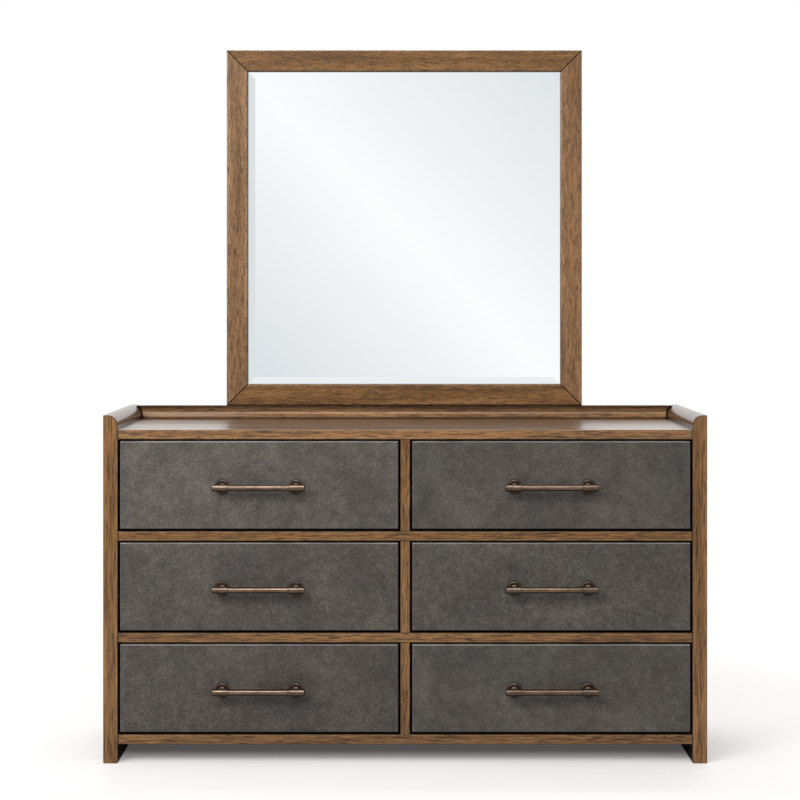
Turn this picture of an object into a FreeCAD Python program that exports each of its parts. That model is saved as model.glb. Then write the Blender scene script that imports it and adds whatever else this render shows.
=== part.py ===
import FreeCAD, Part

import math
import operator
import os
from types import SimpleNamespace

import Sketcher

# Dresser with six drawers in two columns and a square framed mirror that stands on its gallery rail.
# Millimetres. The front faces -Y, +X is the viewer's right, +Z is up, and the origin is the middle of the
# overall box at the floor.

SIZES = {
    # Case
    "case_width": 1575,
    "case_depth": 460,
    "side_thickness": 38,
    "side_round": 26,
    "side_foot_round": 3,
    "edge_ease": 1.5,
    "face_setback": 1.5,
    "foot_height": 50,
    "bottom_thickness": 25,
    "opening_height": 240,
    "rail_height": 25,
    "rail_depth": 60,
    "top_thickness": 25,
    "partition_thickness": 25,
    "tongue_length": 10,
    "tongue_thickness": 10,
    "tongue_stop": 15,
    "joint_clearance": 0.1,
    "back_thickness": 6,
    "back_groove": 10,
    # Gallery rail
    "gallery_height": 38,
    "gallery_thickness": 30,
    "gallery_housing": 3,
    "gallery_lip": 2,
    "gallery_ear": 14,
    "cove_height": 12,
    "cove_depth": 6,
    "cove_radius": 12,
    "ledge_height": 3.5,
    # Drawer front and box
    "reveal": 5,
    "drawer_setback": 2,
    "front_thickness": 22,
    "front_round": 3,
    "box_lift": 20,
    "box_headroom": 30,
    "box_back_gap": 12,
    "box_board": 12,
    "tail_wide_share": 0.72,
    "tail_narrow_share": 0.60,
    "drawer_bottom_thickness": 6,
    "drawer_bottom_rise": 11,
    "drawer_bottom_groove": 6,
    # Telescopic slides
    "slide_back_gap": 9,
    "slide_height": 45,
    "slide_width": 13,
    "slide_inset": 3,
    "slide_rise": 70,
    "slide_sheet": 1.2,
    "slide_gap": 0.3,
    "slide_flange": 7.2,
    "slide_lip": 5.5,
    # Handle
    "handle_spacing": 192,
    "handle_drop": 4,
    "handle_standoff": 28,
    "bar_diameter": 16,
    "bar_clearance": 0.05,
    "sleeve_diameter": 18.5,
    "sleeve_length": 43,
    "sleeve_overhang": 25,
    "sleeve_end_wall": 5,
    "sleeve_end_chamfer": 2,
    "ring_setback": 2,
    "ring_width": 1.2,
    "ring_depth": 0.5,
    "rosette_diameter": 36,
    "rosette_thickness": 4,
    "rosette_chamfer": 2,
    "neck_diameter": 12,
    "neck_flare": 4,
    "handle_screw_diameter": 4,
    "handle_screw_grip": 12,
    "handle_screw_head_diameter": 8,
    "handle_screw_head_height": 2.6,
    "handle_screw_clearance": 0.3,
    # Mirror
    "mirror_width": 1015,
    "mirror_height": 1015,
    "frame_width": 60,
    "frame_depth": 24,
    "frame_ease": 3,
    "frame_lip": 8,
    "mitre_ease": 0.8,
    "rabbet_width": 9,
    "glass_thickness": 5,
    "glass_clearance": 1,
    "bevel_width": 29,
    "bevel_drop": 2,
    "backing_thickness": 4,
    "strip_width": 14,
    # Mirror supports and their screws
    "support_width": 60,
    "support_thickness": 18,
    "support_offset": 300,
    "support_drop": 160,
    "support_top_gap": 15,
    "screw_pitch": 30,
    "screw_length": 38,
    "screw_diameter": 4,
    "screw_head_drop": 2,
    "screw_clearance": 0.1,
    # Every cut runs this far past the face it leaves by
    "overrun": 5,
}

ROWS = ("lower", "middle", "upper")
COLUMNS = {"left": -1, "right": 1}
TAIL_COUNT = 4
FULL_TURN = 360

SIGNS = {"+": operator.add, "-": operator.sub, "*": operator.mul, "/": operator.truediv}

# Each origin plane's normal, as a sign on the axis that it crosses
NORMAL = {"XY_Plane": 1, "XZ_Plane": -1, "YZ_Plane": 1}


class Size:
    """A length that knows both its value and the spreadsheet formula that it comes from."""

    def __init__(self, value, formula):
        self.value = value
        self.formula = formula

    def joined(self, sign, other, swapped=False):
        other = other if isinstance(other, Size) else Size(other, repr(other))
        first, second = (other, self) if swapped else (self, other)
        return Size(SIGNS[sign](first.value, second.value), f"({first.formula} {sign} {second.formula})")

    def __add__(self, other):
        return self.joined("+", other)

    def __sub__(self, other):
        return self.joined("-", other)

    def __mul__(self, other):
        return self.joined("*", other)

    def __rmul__(self, other):
        return self.joined("*", other, swapped=True)

    def __rsub__(self, other):
        return self.joined("-", other, swapped=True)

    def __truediv__(self, other):
        return self.joined("/", other)

    def __neg__(self):
        return self * -1


doc = FreeCAD.newDocument("Dresser")
sheet = doc.addObject("Spreadsheet::Sheet", "Sizes")
for row, (alias, number) in enumerate(SIZES.items(), 1):
    sheet.set(f"A{row}", alias)
    sheet.set(f"B{row}", str(number))
    sheet.setAlias(f"B{row}", alias)
doc.recompute()

ZERO = Size(0, "0")
size = SimpleNamespace(**{alias: Size(number, f"Sizes.{alias}") for alias, number in SIZES.items()})

# Levels and faces of the case. In the case's own frame Y runs back from the front of the side panels.
INNER_HALF = size.case_width / 2 - size.side_thickness
BAY_FLOOR = size.foot_height + size.bottom_thickness
BAY_STEP = size.opening_height + size.rail_height
TOP_UNDERSIDE = BAY_FLOOR + (len(ROWS) - 1) * BAY_STEP + size.opening_height
TOP_SURFACE = TOP_UNDERSIDE + size.top_thickness
CASE_HEIGHT = TOP_SURFACE + size.gallery_height
BACK_PLANE = size.case_depth - size.support_thickness
BACK_FRONT = BACK_PLANE - size.back_thickness
GALLERY_FRONT = BACK_PLANE - size.gallery_thickness
BAY_WIDTH = INNER_HALF - size.partition_thickness / 2
BAY_CENTRE = (INNER_HALF + size.partition_thickness / 2) / 2

# The case's front in the part's frame, with the overall box centred on Y
HANDLE_REACH = size.handle_standoff + size.sleeve_diameter / 2 - size.drawer_setback
CASE_FRONT = (HANDLE_REACH - size.case_depth) / 2

# Drawer box and slides, in the drawer's own frame: X from the middle of its bay, Z from the floor of its bay
BOX_FRONT = size.drawer_setback + size.front_thickness
BOX_BACK = BACK_FRONT - size.box_back_gap
BOX_HALF = BAY_WIDTH / 2 - size.slide_width
BOX_TOP = size.opening_height - size.box_headroom
BOX_HEIGHT = BOX_TOP - size.box_lift
TAIL_PITCH = BOX_HEIGHT / TAIL_COUNT
SLIDE_FRONT = BOX_FRONT + size.slide_inset
SLIDE_LENGTH = BACK_FRONT - size.slide_back_gap - SLIDE_FRONT
GROOVE_FLOOR = size.box_lift + size.drawer_bottom_rise
HANDLE_LEVEL = size.opening_height / 2 - size.handle_drop

# Mirror, standing on the gallery rail
MIRROR_CENTRE = CASE_HEIGHT + size.mirror_height / 2
FRAME_FRONT = BACK_PLANE - size.frame_depth
GLASS_FRONT = FRAME_FRONT + size.frame_lip
BACKING_FRONT = GLASS_FRONT + size.glass_thickness
STRIP_FRONT = BACKING_FRONT + size.backing_thickness
MIRROR_HALF = [size.mirror_width / 2, size.mirror_height / 2]
RABBET_HALF = [half - size.frame_width + size.rabbet_width for half in MIRROR_HALF]
GLASS_HALF = [half - size.glass_clearance for half in RABBET_HALF]
SCREW_LEVELS = (
    TOP_SURFACE - size.top_thickness / 2,
    CASE_HEIGHT + size.frame_width / 2,
    CASE_HEIGHT + size.mirror_height - size.frame_width / 2,
)


# Helpers: bound properties, outlines and features


def bind(thing, prop, length):
    """Ties one property of an object to a spreadsheet formula."""
    thing.setExpression(prop, length.formula)


def place(thing, x=ZERO, y=ZERO, z=ZERO, turn=0):
    """Sets an object's place, turned about Y, and ties its base point to the spreadsheet."""
    thing.Placement = FreeCAD.Placement(
        FreeCAD.Vector(x.value, y.value, z.value), FreeCAD.Rotation(FreeCAD.Vector(0, 1, 0), turn)
    )
    for axis, length in zip("xyz", (x, y, z)):
        bind(thing, f"Placement.Base.{axis}", length)
    return thing


def new_body(label):
    body = doc.addObject("PartDesign::Body", label)
    body.Label = label
    return body


def origin_item(body, role):
    return next(item for item in body.Origin.OriginFeatures if item.Role == role)


def box(label, x, y, z):
    """A plain board between two places on each axis."""
    board = doc.addObject("Part::Box", label)
    board.Label = label
    for prop, (low, high) in zip(("Length", "Width", "Height"), (x, y, z)):
        bind(board, prop, high - low)
    return place(board, x[0], y[0], z[0])


def group(label, parts, x=ZERO, y=ZERO, z=ZERO, turn=0):
    """A copy of one or more parts, kept as separate solids, at a place of its own."""
    compound = doc.addObject("Part::Compound", label)
    compound.Label = label
    compound.Links = parts
    return place(compound, x, y, z, turn)


def mirrored(label, source):
    """The opposite hand of a part, across the plane X = 0."""
    mirror = doc.addObject("Part::Mirroring", label)
    mirror.Label = label
    mirror.Source = source
    mirror.Normal = FreeCAD.Vector(1, 0, 0)
    return mirror


def sketch_on(body, plane, at=ZERO, across=ZERO):
    """A sketch parallel to an origin plane, which meets the plane's axis at one place.

    Across moves the sketch's own origin along its Y axis.
    """
    sketch = body.newObject("Sketcher::SketchObject", "Outline")
    sketch.AttachmentSupport = [(origin_item(body, plane), "")]
    sketch.MapMode = "FlatFace"
    bind(sketch, "AttachmentOffset.Base.y", across)
    bind(sketch, "AttachmentOffset.Base.z", at * NORMAL[plane])
    return sketch


def fix_point(sketch, geometry, end, x, y):
    """Ties one end of a line or arc to its distances from the sketch's origin."""
    for kind, length in (("DistanceX", x), ("DistanceY", y)):
        index = sketch.addConstraint(Sketcher.Constraint(kind, -1, 1, geometry, end, length.value))
        bind(sketch, f"Constraints[{index}]", length)


def fix_radius(sketch, geometry, radius):
    index = sketch.addConstraint(Sketcher.Constraint("Radius", geometry, radius.value))
    bind(sketch, f"Constraints[{index}]", radius)


def direction(start, end):
    """Unit step along the edge between two corners."""
    step_x = end[0].value - start[0].value
    step_y = end[1].value - start[1].value
    span = math.hypot(step_x, step_y)
    return step_x / span, step_y / span


def outline_steps(corners):
    """Turns corners into points, each with the radius and turn of the arc that leaves it, if one does.

    A corner is (x, y), (x, y, radius) for a rounded corner between edges along the axes, or
    (x, y, radius, "hollow") where the edge that leaves it is an arc that bows into the outline.
    """
    steps = []
    for index, corner in enumerate(corners):
        x, y = corner[:2]
        if len(corner) == 2:
            steps.append((x, y, None, False))
        elif len(corner) == 4:
            steps.append((x, y, corner[2], False))
        else:
            radius = corner[2]
            back_x, back_y = direction(corner, corners[index - 1])
            on_x, on_y = direction(corner, corners[(index + 1) % len(corners)])
            left_turn = on_x * back_y - on_y * back_x > 0
            steps.append((x + radius * round(back_x), y + radius * round(back_y), radius, left_turn))
            steps.append((x + radius * round(on_x), y + radius * round(on_y), None, False))
    return steps


def arc_between(start, end, radius, left_turn):
    """The short arc from one point to the next."""
    chord_x = end[0].value - start[0].value
    chord_y = end[1].value - start[1].value
    chord = math.hypot(chord_x, chord_y)
    rise = math.sqrt(max(radius.value**2 - chord**2 / 4, 0)) * (1 if left_turn else -1)
    centre_x = (start[0].value + end[0].value) / 2 - rise * chord_y / chord
    centre_y = (start[1].value + end[1].value) / 2 + rise * chord_x / chord
    first, last = (start, end) if left_turn else (end, start)
    angles = [math.atan2(point[1].value - centre_y, point[0].value - centre_x) for point in (first, last)]
    circle = Part.Circle(FreeCAD.Vector(centre_x, centre_y, 0), FreeCAD.Vector(0, 0, 1), radius.value)
    return Part.ArcOfCircle(circle, *angles)


def draw(sketch, corners):
    """Draws a closed outline through corners, anticlockwise, with every point tied to the spreadsheet."""
    steps = outline_steps(corners)
    edges = []
    for index, (x, y, radius, left_turn) in enumerate(steps):
        following = steps[(index + 1) % len(steps)]
        if radius:
            geometry = sketch.addGeometry(arc_between((x, y), following, radius, left_turn))
            ends = (1, 2) if left_turn else (2, 1)
        else:
            start = FreeCAD.Vector(x.value, y.value, 0)
            geometry = sketch.addGeometry(
                Part.LineSegment(start, FreeCAD.Vector(following[0].value, following[1].value, 0))
            )
            ends = (1, 2)
        edges.append((geometry, *ends))
    for index, (geometry, start, end) in enumerate(edges):
        next_geometry, next_start, _ = edges[(index + 1) % len(edges)]
        sketch.addConstraint(Sketcher.Constraint("Coincident", geometry, end, next_geometry, next_start))
    for (x, y, radius, _), (geometry, start, _) in zip(steps, edges):
        fix_point(sketch, geometry, start, x, y)
        if radius:
            fix_radius(sketch, geometry, radius)
    return sketch


def draw_circles(sketch, centres, radius):
    for x, y in centres:
        centre = FreeCAD.Vector(x.value, y.value, 0)
        geometry = sketch.addGeometry(Part.Circle(centre, FreeCAD.Vector(0, 0, 1), radius.value))
        fix_point(sketch, geometry, 3, x, y)
        fix_radius(sketch, geometry, radius)
    return sketch


def rectangle(x, y, ease=None):
    """Corners of a rectangle, with the two at the low x rounded where an ease is given."""
    rounding = (ease,) if ease else ()
    return [(x[0], y[0], *rounding), (x[1], y[0]), (x[1], y[1]), (x[0], y[1], *rounding)]


def pad(body, sketch, plane, length, toward=1, both_ways=False):
    """Thickens an outline, towards the plus or minus side of its plane's axis or half each way."""
    feature = body.newObject("PartDesign::Pad", "Pad")
    feature.Profile = sketch
    feature.SideType = "Symmetric" if both_ways else "One side"
    feature.Reversed = toward * NORMAL[plane] < 0
    bind(feature, "Length", length)
    return feature


def cut(body, sketch, plane, length, toward):
    """Cuts an outline into a body and makes sure that it took something away."""
    doc.recompute()
    before = body.Shape.Volume
    feature = body.newObject("PartDesign::Pocket", "Cut")
    feature.Profile = sketch
    feature.Reversed = toward * NORMAL[plane] > 0
    bind(feature, "Length", length)
    doc.recompute()
    if body.Shape.Volume >= before:
        raise ValueError(f"{body.Label}: a cut took nothing away")
    return feature


def repeat_up(body, features, span, count):
    """Repeats features up the Z axis, evenly over a span."""
    pattern = body.newObject("PartDesign::LinearPattern", "Repeat")
    pattern.Originals = features
    pattern.Direction = (origin_item(body, "Z_Axis"), [""])
    bind(pattern, "Length", span)
    pattern.Occurrences = count
    body.Tip = pattern
    return pattern


def spin(body, sketch, axis, kind="PartDesign::Revolution"):
    """Turns an outline about the horizontal or vertical axis of its own sketch."""
    feature = body.newObject(kind, "Turned")
    feature.Profile = sketch
    feature.ReferenceAxis = (sketch, [axis])
    feature.Angle = FULL_TURN
    return feature


def dress_edges(body, kind, prop, length, chosen):
    """Fillets or chamfers the edges that a test picks."""
    doc.recompute()
    base = body.Tip
    names = [f"Edge{index}" for index, edge in enumerate(base.Shape.Edges, 1) if chosen(edge)]
    feature = body.newObject(kind, "Dressed")
    feature.Base = (base, names)
    bind(feature, prop, length)
    return feature


def lies_at_y(y):
    """A test for edges that lie wholly in one plane across Y."""
    return lambda edge: max(abs(edge.BoundBox.YMin - y.value), abs(edge.BoundBox.YMax - y.value)) < 1e-4


# Case


def tongue_range(low, high):
    return low + size.tongue_stop, high - size.tongue_stop


def tongue_levels(low, high):
    middle = (low + high) / 2
    return middle - size.tongue_thickness / 2, middle + size.tongue_thickness / 2


def cross_boards():
    """Where each board between the sides lies: its range in depth and in height."""
    front = size.face_setback
    boards = {
        "bottom_panel": ((front, BACK_FRONT), (size.foot_height, BAY_FLOOR)),
        "top_panel": ((front, BACK_PLANE), (TOP_UNDERSIDE, TOP_SURFACE)),
    }
    for index, row in enumerate(("lower", "upper"), 1):
        low = BAY_FLOOR + index * BAY_STEP - size.rail_height
        boards[f"{row}_front_rail"] = ((front, front + size.rail_depth), (low, low + size.rail_height))
    return boards


def cross_board(label, depth, height):
    """A board between the sides, its front edges eased, with a tongue at each end."""
    body = new_body(label)
    section = draw(sketch_on(body, "YZ_Plane"), rectangle(depth, height, size.edge_ease))
    pad(body, section, "YZ_Plane", 2 * INNER_HALF, both_ways=True)
    tongue = draw(sketch_on(body, "YZ_Plane"), rectangle(tongue_range(*depth), tongue_levels(*height)))
    pad(body, tongue, "YZ_Plane", 2 * (INNER_HALF + size.tongue_length), both_ways=True)
    return place(body, y=CASE_FRONT)


def left_side_panel():
    """A side panel, seen from the front: its inner top edge is a large round and its feet are eased."""
    body = new_body("left_side_panel")
    outer = -size.case_width / 2
    profile = [
        (outer, ZERO, size.side_foot_round),
        (-INNER_HALF, ZERO, size.side_foot_round),
        (-INNER_HALF, CASE_HEIGHT, size.side_round),
        (outer, CASE_HEIGHT, size.edge_ease),
    ]
    pad(body, draw(sketch_on(body, "XZ_Plane"), profile), "XZ_Plane", size.case_depth)
    play = size.joint_clearance
    for depth, height in cross_boards().values():
        low_y, high_y = tongue_range(*depth)
        low_z, high_z = tongue_levels(*height)
        slot = rectangle((low_y - play, high_y + play), (low_z - play, high_z + play))
        sketch = draw(sketch_on(body, "YZ_Plane", -INNER_HALF), slot)
        cut(body, sketch, "YZ_Plane", size.tongue_length + play, toward=-1)
    groove = rectangle((BACK_FRONT, BACK_PLANE), (size.foot_height, TOP_UNDERSIDE))
    sketch = draw(sketch_on(body, "YZ_Plane", -INNER_HALF), groove)
    cut(body, sketch, "YZ_Plane", size.back_groove + play, toward=-1)
    dress_edges(body, "PartDesign::Fillet", "Radius", size.edge_ease, lies_at_y(ZERO))
    return place(body, y=CASE_FRONT)


def centre_partition():
    """The upright board between the columns, notched for the two rails, its front edges eased."""
    body = new_body("centre_partition")
    front = size.face_setback
    notch = front + size.rail_depth
    corners = rectangle((front, BACK_FRONT), (BAY_FLOOR, TOP_UNDERSIDE))
    for index in reversed(range(1, len(ROWS))):
        high = BAY_FLOOR + index * BAY_STEP
        low = high - size.rail_height
        corners += [(front, high), (notch, high), (notch, low), (front, low)]
    sketch = draw(sketch_on(body, "YZ_Plane"), corners)
    pad(body, sketch, "YZ_Plane", size.partition_thickness, both_ways=True)
    at_front = lies_at_y(front)
    dress_edges(
        body, "PartDesign::Fillet", "Radius", size.edge_ease,
        lambda edge: at_front(edge) and edge.BoundBox.ZLength > edge.BoundBox.XLength,
    )
    return place(body, y=CASE_FRONT)


def house_gallery(body):
    """The rebate along the back of the top that the gallery rail stands in."""
    past = size.overrun
    section = rectangle(
        (GALLERY_FRONT, BACK_PLANE + past), (TOP_SURFACE - size.gallery_housing, TOP_SURFACE + past)
    )
    sketch = draw(sketch_on(body, "YZ_Plane", -INNER_HALF), section)
    cut(body, sketch, "YZ_Plane", 2 * INNER_HALF, toward=1)


def gallery_rail():
    """The rail along the back of the top, in its rebate: a lip, a cove, a sloped ledge and a plain face."""
    body = new_body("gallery_rail")
    foot = TOP_SURFACE - size.gallery_housing
    cove_top = CASE_HEIGHT - size.gallery_lip
    ledge_top = cove_top - size.cove_height
    corners = [
        (GALLERY_FRONT, foot),
        (BACK_PLANE, foot),
        (BACK_PLANE, CASE_HEIGHT),
        (GALLERY_FRONT, CASE_HEIGHT),
        (GALLERY_FRONT, cove_top, size.cove_radius, "hollow"),
        (GALLERY_FRONT + size.cove_depth, ledge_top),
        (GALLERY_FRONT, ledge_top - size.ledge_height),
    ]
    length = 2 * (INNER_HALF + size.gallery_ear)
    pad(body, draw(sketch_on(body, "YZ_Plane"), corners), "YZ_Plane", length, both_ways=True)
    cope_gallery(body, foot)
    return place(body, y=CASE_FRONT)


def cope_gallery(body, foot):
    """Cuts the rail's ends to the section of the side panels, so that its ears lie on their rounds."""
    low = foot - size.overrun
    reach = INNER_HALF + size.side_round + size.overrun
    for hand in COLUMNS.values():
        corners = [
            (hand * reach, low),
            (hand * reach, CASE_HEIGHT),
            (hand * INNER_HALF, CASE_HEIGHT, size.side_round),
            (hand * INNER_HALF, low),
        ]
        sketch = draw(sketch_on(body, "XZ_Plane", GALLERY_FRONT), corners[::hand])
        cut(body, sketch, "XZ_Plane", size.gallery_thickness, toward=1)


def screw_places(levels):
    """Where the mirror supports' screws go, in X and Z: a pair on each support at each level."""
    return [
        (side * size.support_offset + shift * size.screw_pitch / 2, level)
        for level in levels
        for side in COLUMNS.values()
        for shift in (-1, 1)
    ]


def drill_for_supports(body, back, level):
    """Pilot holes for the mirror supports' screws at one level, drilled forwards from a back face."""
    radius = size.screw_diameter / 2 + size.screw_clearance
    sketch = draw_circles(sketch_on(body, "XZ_Plane", back), screw_places([level]), radius)
    depth = size.screw_length - size.support_thickness + size.joint_clearance
    cut(body, sketch, "XZ_Plane", depth, toward=-1)


def back_panel():
    """The thin board that closes the back, its upright edges in the grooves of the sides."""
    half = INNER_HALF + size.back_groove
    depth = (CASE_FRONT + BACK_FRONT, CASE_FRONT + BACK_PLANE)
    return box("back_panel", (-half, half), depth, (size.foot_height, TOP_UNDERSIDE))


def build_case():
    boards = {label: cross_board(label, *ranges) for label, ranges in cross_boards().items()}
    house_gallery(boards["top_panel"])
    drill_for_supports(boards["top_panel"], BACK_PLANE, SCREW_LEVELS[0])
    side = left_side_panel()
    return [
        *boards.values(),
        side,
        mirrored("right_side_panel", side),
        centre_partition(),
        gallery_rail(),
        back_panel(),
    ]


# Mirror


def frame_bar(label, length):
    """One mitred bar of the mirror frame, lying along X with its outer edge up and its rabbet at the back.

    Its mitres are eased in front, so that each corner of the frame shows a fine groove, and its long front
    edges are rounded.
    """
    body = new_body(label)
    section = [
        (ZERO, ZERO),
        (size.frame_lip, ZERO),
        (size.frame_lip, size.rabbet_width),
        (size.frame_depth, size.rabbet_width),
        (size.frame_depth, size.frame_width),
        (ZERO, size.frame_width),
    ]
    pad(body, draw(sketch_on(body, "YZ_Plane"), section), "YZ_Plane", length, both_ways=True)
    past = size.overrun
    for hand in COLUMNS.values():
        inner = (hand * (length / 2 - size.frame_width - past), -past)
        outer = (hand * (length / 2 + past), size.frame_width + past)
        corners = [inner, (outer[0], inner[1]), outer]
        sketch = draw(sketch_on(body, "XZ_Plane"), corners[::hand])
        cut(body, sketch, "XZ_Plane", size.frame_depth, toward=1)
    at_front = lies_at_y(ZERO)
    dress_edges(
        body, "PartDesign::Chamfer", "Size", size.mitre_ease,
        lambda edge: at_front(edge) and edge.BoundBox.ZLength > edge.BoundBox.XLength / 2,
    )
    dress_edges(
        body, "PartDesign::Fillet", "Radius", size.frame_ease,
        lambda edge: at_front(edge) and edge.BoundBox.ZLength < edge.BoundBox.XLength / 2,
    )
    return body


def mirror_glass():
    """A square of glass with a wide, shallow bevel round its front."""
    body = new_body("mirror_glass")
    half_x, half_z = GLASS_HALF
    inset_x, inset_z = half_x - size.bevel_width, half_z - size.bevel_width
    edge = rectangle((-half_x, half_x), (-half_z, half_z))
    face = rectangle((-inset_x, inset_x), (-inset_z, inset_z))
    plate = draw(sketch_on(body, "XZ_Plane", size.bevel_drop), edge)
    pad(body, plate, "XZ_Plane", size.glass_thickness - size.bevel_drop)
    bevel = body.newObject("PartDesign::AdditiveLoft", "Bevel")
    bevel.Profile = draw(sketch_on(body, "XZ_Plane", size.bevel_drop), edge)
    bevel.Sections = [draw(sketch_on(body, "XZ_Plane"), face)]
    bevel.Ruled = True
    return place(body, y=CASE_FRONT + GLASS_FRONT, z=MIRROR_CENTRE)


def backing_board():
    """The board behind the glass."""
    half_x, half_z = GLASS_HALF
    depth = (CASE_FRONT + BACKING_FRONT, CASE_FRONT + STRIP_FRONT)
    height = (MIRROR_CENTRE - half_z, MIRROR_CENTRE + half_z)
    return box("mirror_backing_board", (-half_x, half_x), depth, height)


def retaining_strips():
    """Four strips behind the backing board, the two long ones across the top and the bottom."""
    half_x, half_z = RABBET_HALF
    inner_x, inner_z = half_x - size.strip_width, half_z - size.strip_width
    depth = (CASE_FRONT + STRIP_FRONT, CASE_FRONT + BACK_PLANE)
    return [
        box("top_strip", (-half_x, half_x), depth, (MIRROR_CENTRE + inner_z, MIRROR_CENTRE + half_z)),
        box("bottom_strip", (-half_x, half_x), depth, (MIRROR_CENTRE - half_z, MIRROR_CENTRE - inner_z)),
        box("left_strip", (-half_x, -inner_x), depth, (MIRROR_CENTRE - inner_z, MIRROR_CENTRE + inner_z)),
        box("right_strip", (inner_x, half_x), depth, (MIRROR_CENTRE - inner_z, MIRROR_CENTRE + inner_z)),
    ]


def left_mirror_support():
    """The batten behind the left part of the mirror, countersunk for its six screws."""
    body = new_body("left_mirror_support")
    half = size.support_width / 2
    x = (-size.support_offset - half, -size.support_offset + half)
    z = (CASE_HEIGHT - size.support_drop, CASE_HEIGHT + size.mirror_height - size.support_top_gap)
    outline = draw(sketch_on(body, "XZ_Plane", BACK_PLANE), rectangle(x, z))
    pad(body, outline, "XZ_Plane", size.support_thickness)
    radius = size.screw_diameter / 2 + size.screw_clearance
    places = [(px, pz) for px, pz in screw_places(SCREW_LEVELS) if px.value < 0]
    holes = draw_circles(sketch_on(body, "XZ_Plane", size.case_depth), places, radius)
    cut(body, holes, "XZ_Plane", size.support_thickness, toward=-1)
    at_back = lies_at_y(size.case_depth)
    dress_edges(
        body, "PartDesign::Chamfer", "Size", size.screw_head_drop,
        lambda edge: at_back(edge) and isinstance(edge.Curve, Part.Circle),
    )
    return place(body, y=CASE_FRONT)


def countersunk_screw():
    """A screw driven forwards, its flat head at Y = 0."""
    body = new_body("support_screw")
    shank = size.screw_diameter / 2
    corners = [
        (ZERO, -size.screw_length),
        (shank, -size.screw_length),
        (shank, -size.screw_head_drop),
        (shank + size.screw_head_drop, ZERO),
        (ZERO, ZERO),
    ]
    spin(body, draw(sketch_on(body, "XY_Plane"), corners), "V_Axis")
    return body


def build_mirror():
    frame_half_x = size.mirror_width / 2 - size.frame_width
    frame_half_z = size.mirror_height / 2 - size.frame_width
    frame_y = CASE_FRONT + FRAME_FRONT
    across = frame_bar("frame_bar_across", size.mirror_width)
    drill_for_supports(across, size.frame_depth, size.frame_width / 2)
    upright = frame_bar("frame_bar_upright", size.mirror_height)
    support = left_mirror_support()
    screw = countersunk_screw()
    screws = [group("screw", [screw], x, size.case_depth, z) for x, z in screw_places(SCREW_LEVELS)]
    return [
        group("mirror_top_bar", [across], y=frame_y, z=MIRROR_CENTRE + frame_half_z),
        group("mirror_bottom_bar", [across], y=frame_y, z=MIRROR_CENTRE - frame_half_z, turn=FULL_TURN / 2),
        group("mirror_left_bar", [upright], -frame_half_x, frame_y, MIRROR_CENTRE, -FULL_TURN / 4),
        group("mirror_right_bar", [upright], frame_half_x, frame_y, MIRROR_CENTRE, FULL_TURN / 4),
        mirror_glass(),
        backing_board(),
        group("mirror_retaining_strips", retaining_strips()),
        support,
        mirrored("right_mirror_support", support),
        group("mirror_support_screws", screws, y=CASE_FRONT),
    ]


# Drawer


def handle_places():
    return [(side * size.handle_spacing / 2, HANDLE_LEVEL) for side in COLUMNS.values()]


def bore_for_handle(body, front, thickness):
    """Holes for the two handle screws, right through a board."""
    radius = size.handle_screw_diameter / 2 + size.handle_screw_clearance
    holes = draw_circles(sketch_on(body, "XZ_Plane", front), handle_places(), radius)
    cut(body, holes, "XZ_Plane", thickness, toward=1)


def drawer_front():
    """The leather-covered front board, its front edges rounded, bored for the handle screws."""
    body = new_body("drawer_front")
    half = BAY_WIDTH / 2 - size.reveal
    face = rectangle((-half, half), (size.reveal, size.opening_height - size.reveal))
    outline = draw(sketch_on(body, "XZ_Plane", size.drawer_setback), face)
    pad(body, outline, "XZ_Plane", size.front_thickness)
    dress_edges(body, "PartDesign::Fillet", "Radius", size.front_round, lies_at_y(size.drawer_setback))
    bore_for_handle(body, size.drawer_setback, size.front_thickness)
    return body


def dovetail(outer_y, inward, level, outer_share, inner_share, play=ZERO):
    """A tail or a socket, seen from the side, with its play on each slope."""
    shoulder = outer_y + inward * size.box_board
    outer_half = TAIL_PITCH * outer_share / 2 + play
    inner_half = TAIL_PITCH * inner_share / 2 + play
    corners = [
        (outer_y, level - outer_half),
        (shoulder, level - inner_half),
        (shoulder, level + inner_half),
        (outer_y, level + outer_half),
    ]
    return corners[::inward]


def groove_levels():
    return GROOVE_FLOOR, GROOVE_FLOOR + size.drawer_bottom_thickness + size.joint_clearance


def box_side():
    """The left side of the box: tails at both ends, left standing between evenly repeated sockets."""
    body = new_body("box_side")
    outline = rectangle((BOX_FRONT, BOX_BACK), (size.box_lift, BOX_TOP))
    pad(body, draw(sketch_on(body, "YZ_Plane", -BOX_HALF), outline), "YZ_Plane", size.box_board)
    shares = (1 - size.tail_wide_share, 1 - size.tail_narrow_share)
    sockets = sketch_on(body, "YZ_Plane", -BOX_HALF)
    draw(sockets, dovetail(BOX_FRONT, 1, size.box_lift, *shares))
    draw(sockets, dovetail(BOX_BACK, -1, size.box_lift, *shares))
    first = cut(body, sockets, "YZ_Plane", size.box_board, toward=1)
    repeat_up(body, [first], BOX_HEIGHT, TAIL_COUNT + 1)
    inset = size.box_board - size.drawer_bottom_groove
    groove = rectangle((BOX_FRONT + inset, BOX_BACK - inset), groove_levels())
    sketch = draw(sketch_on(body, "YZ_Plane", size.box_board - BOX_HALF), groove)
    cut(body, sketch, "YZ_Plane", size.drawer_bottom_groove, toward=-1)
    return body


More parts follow.
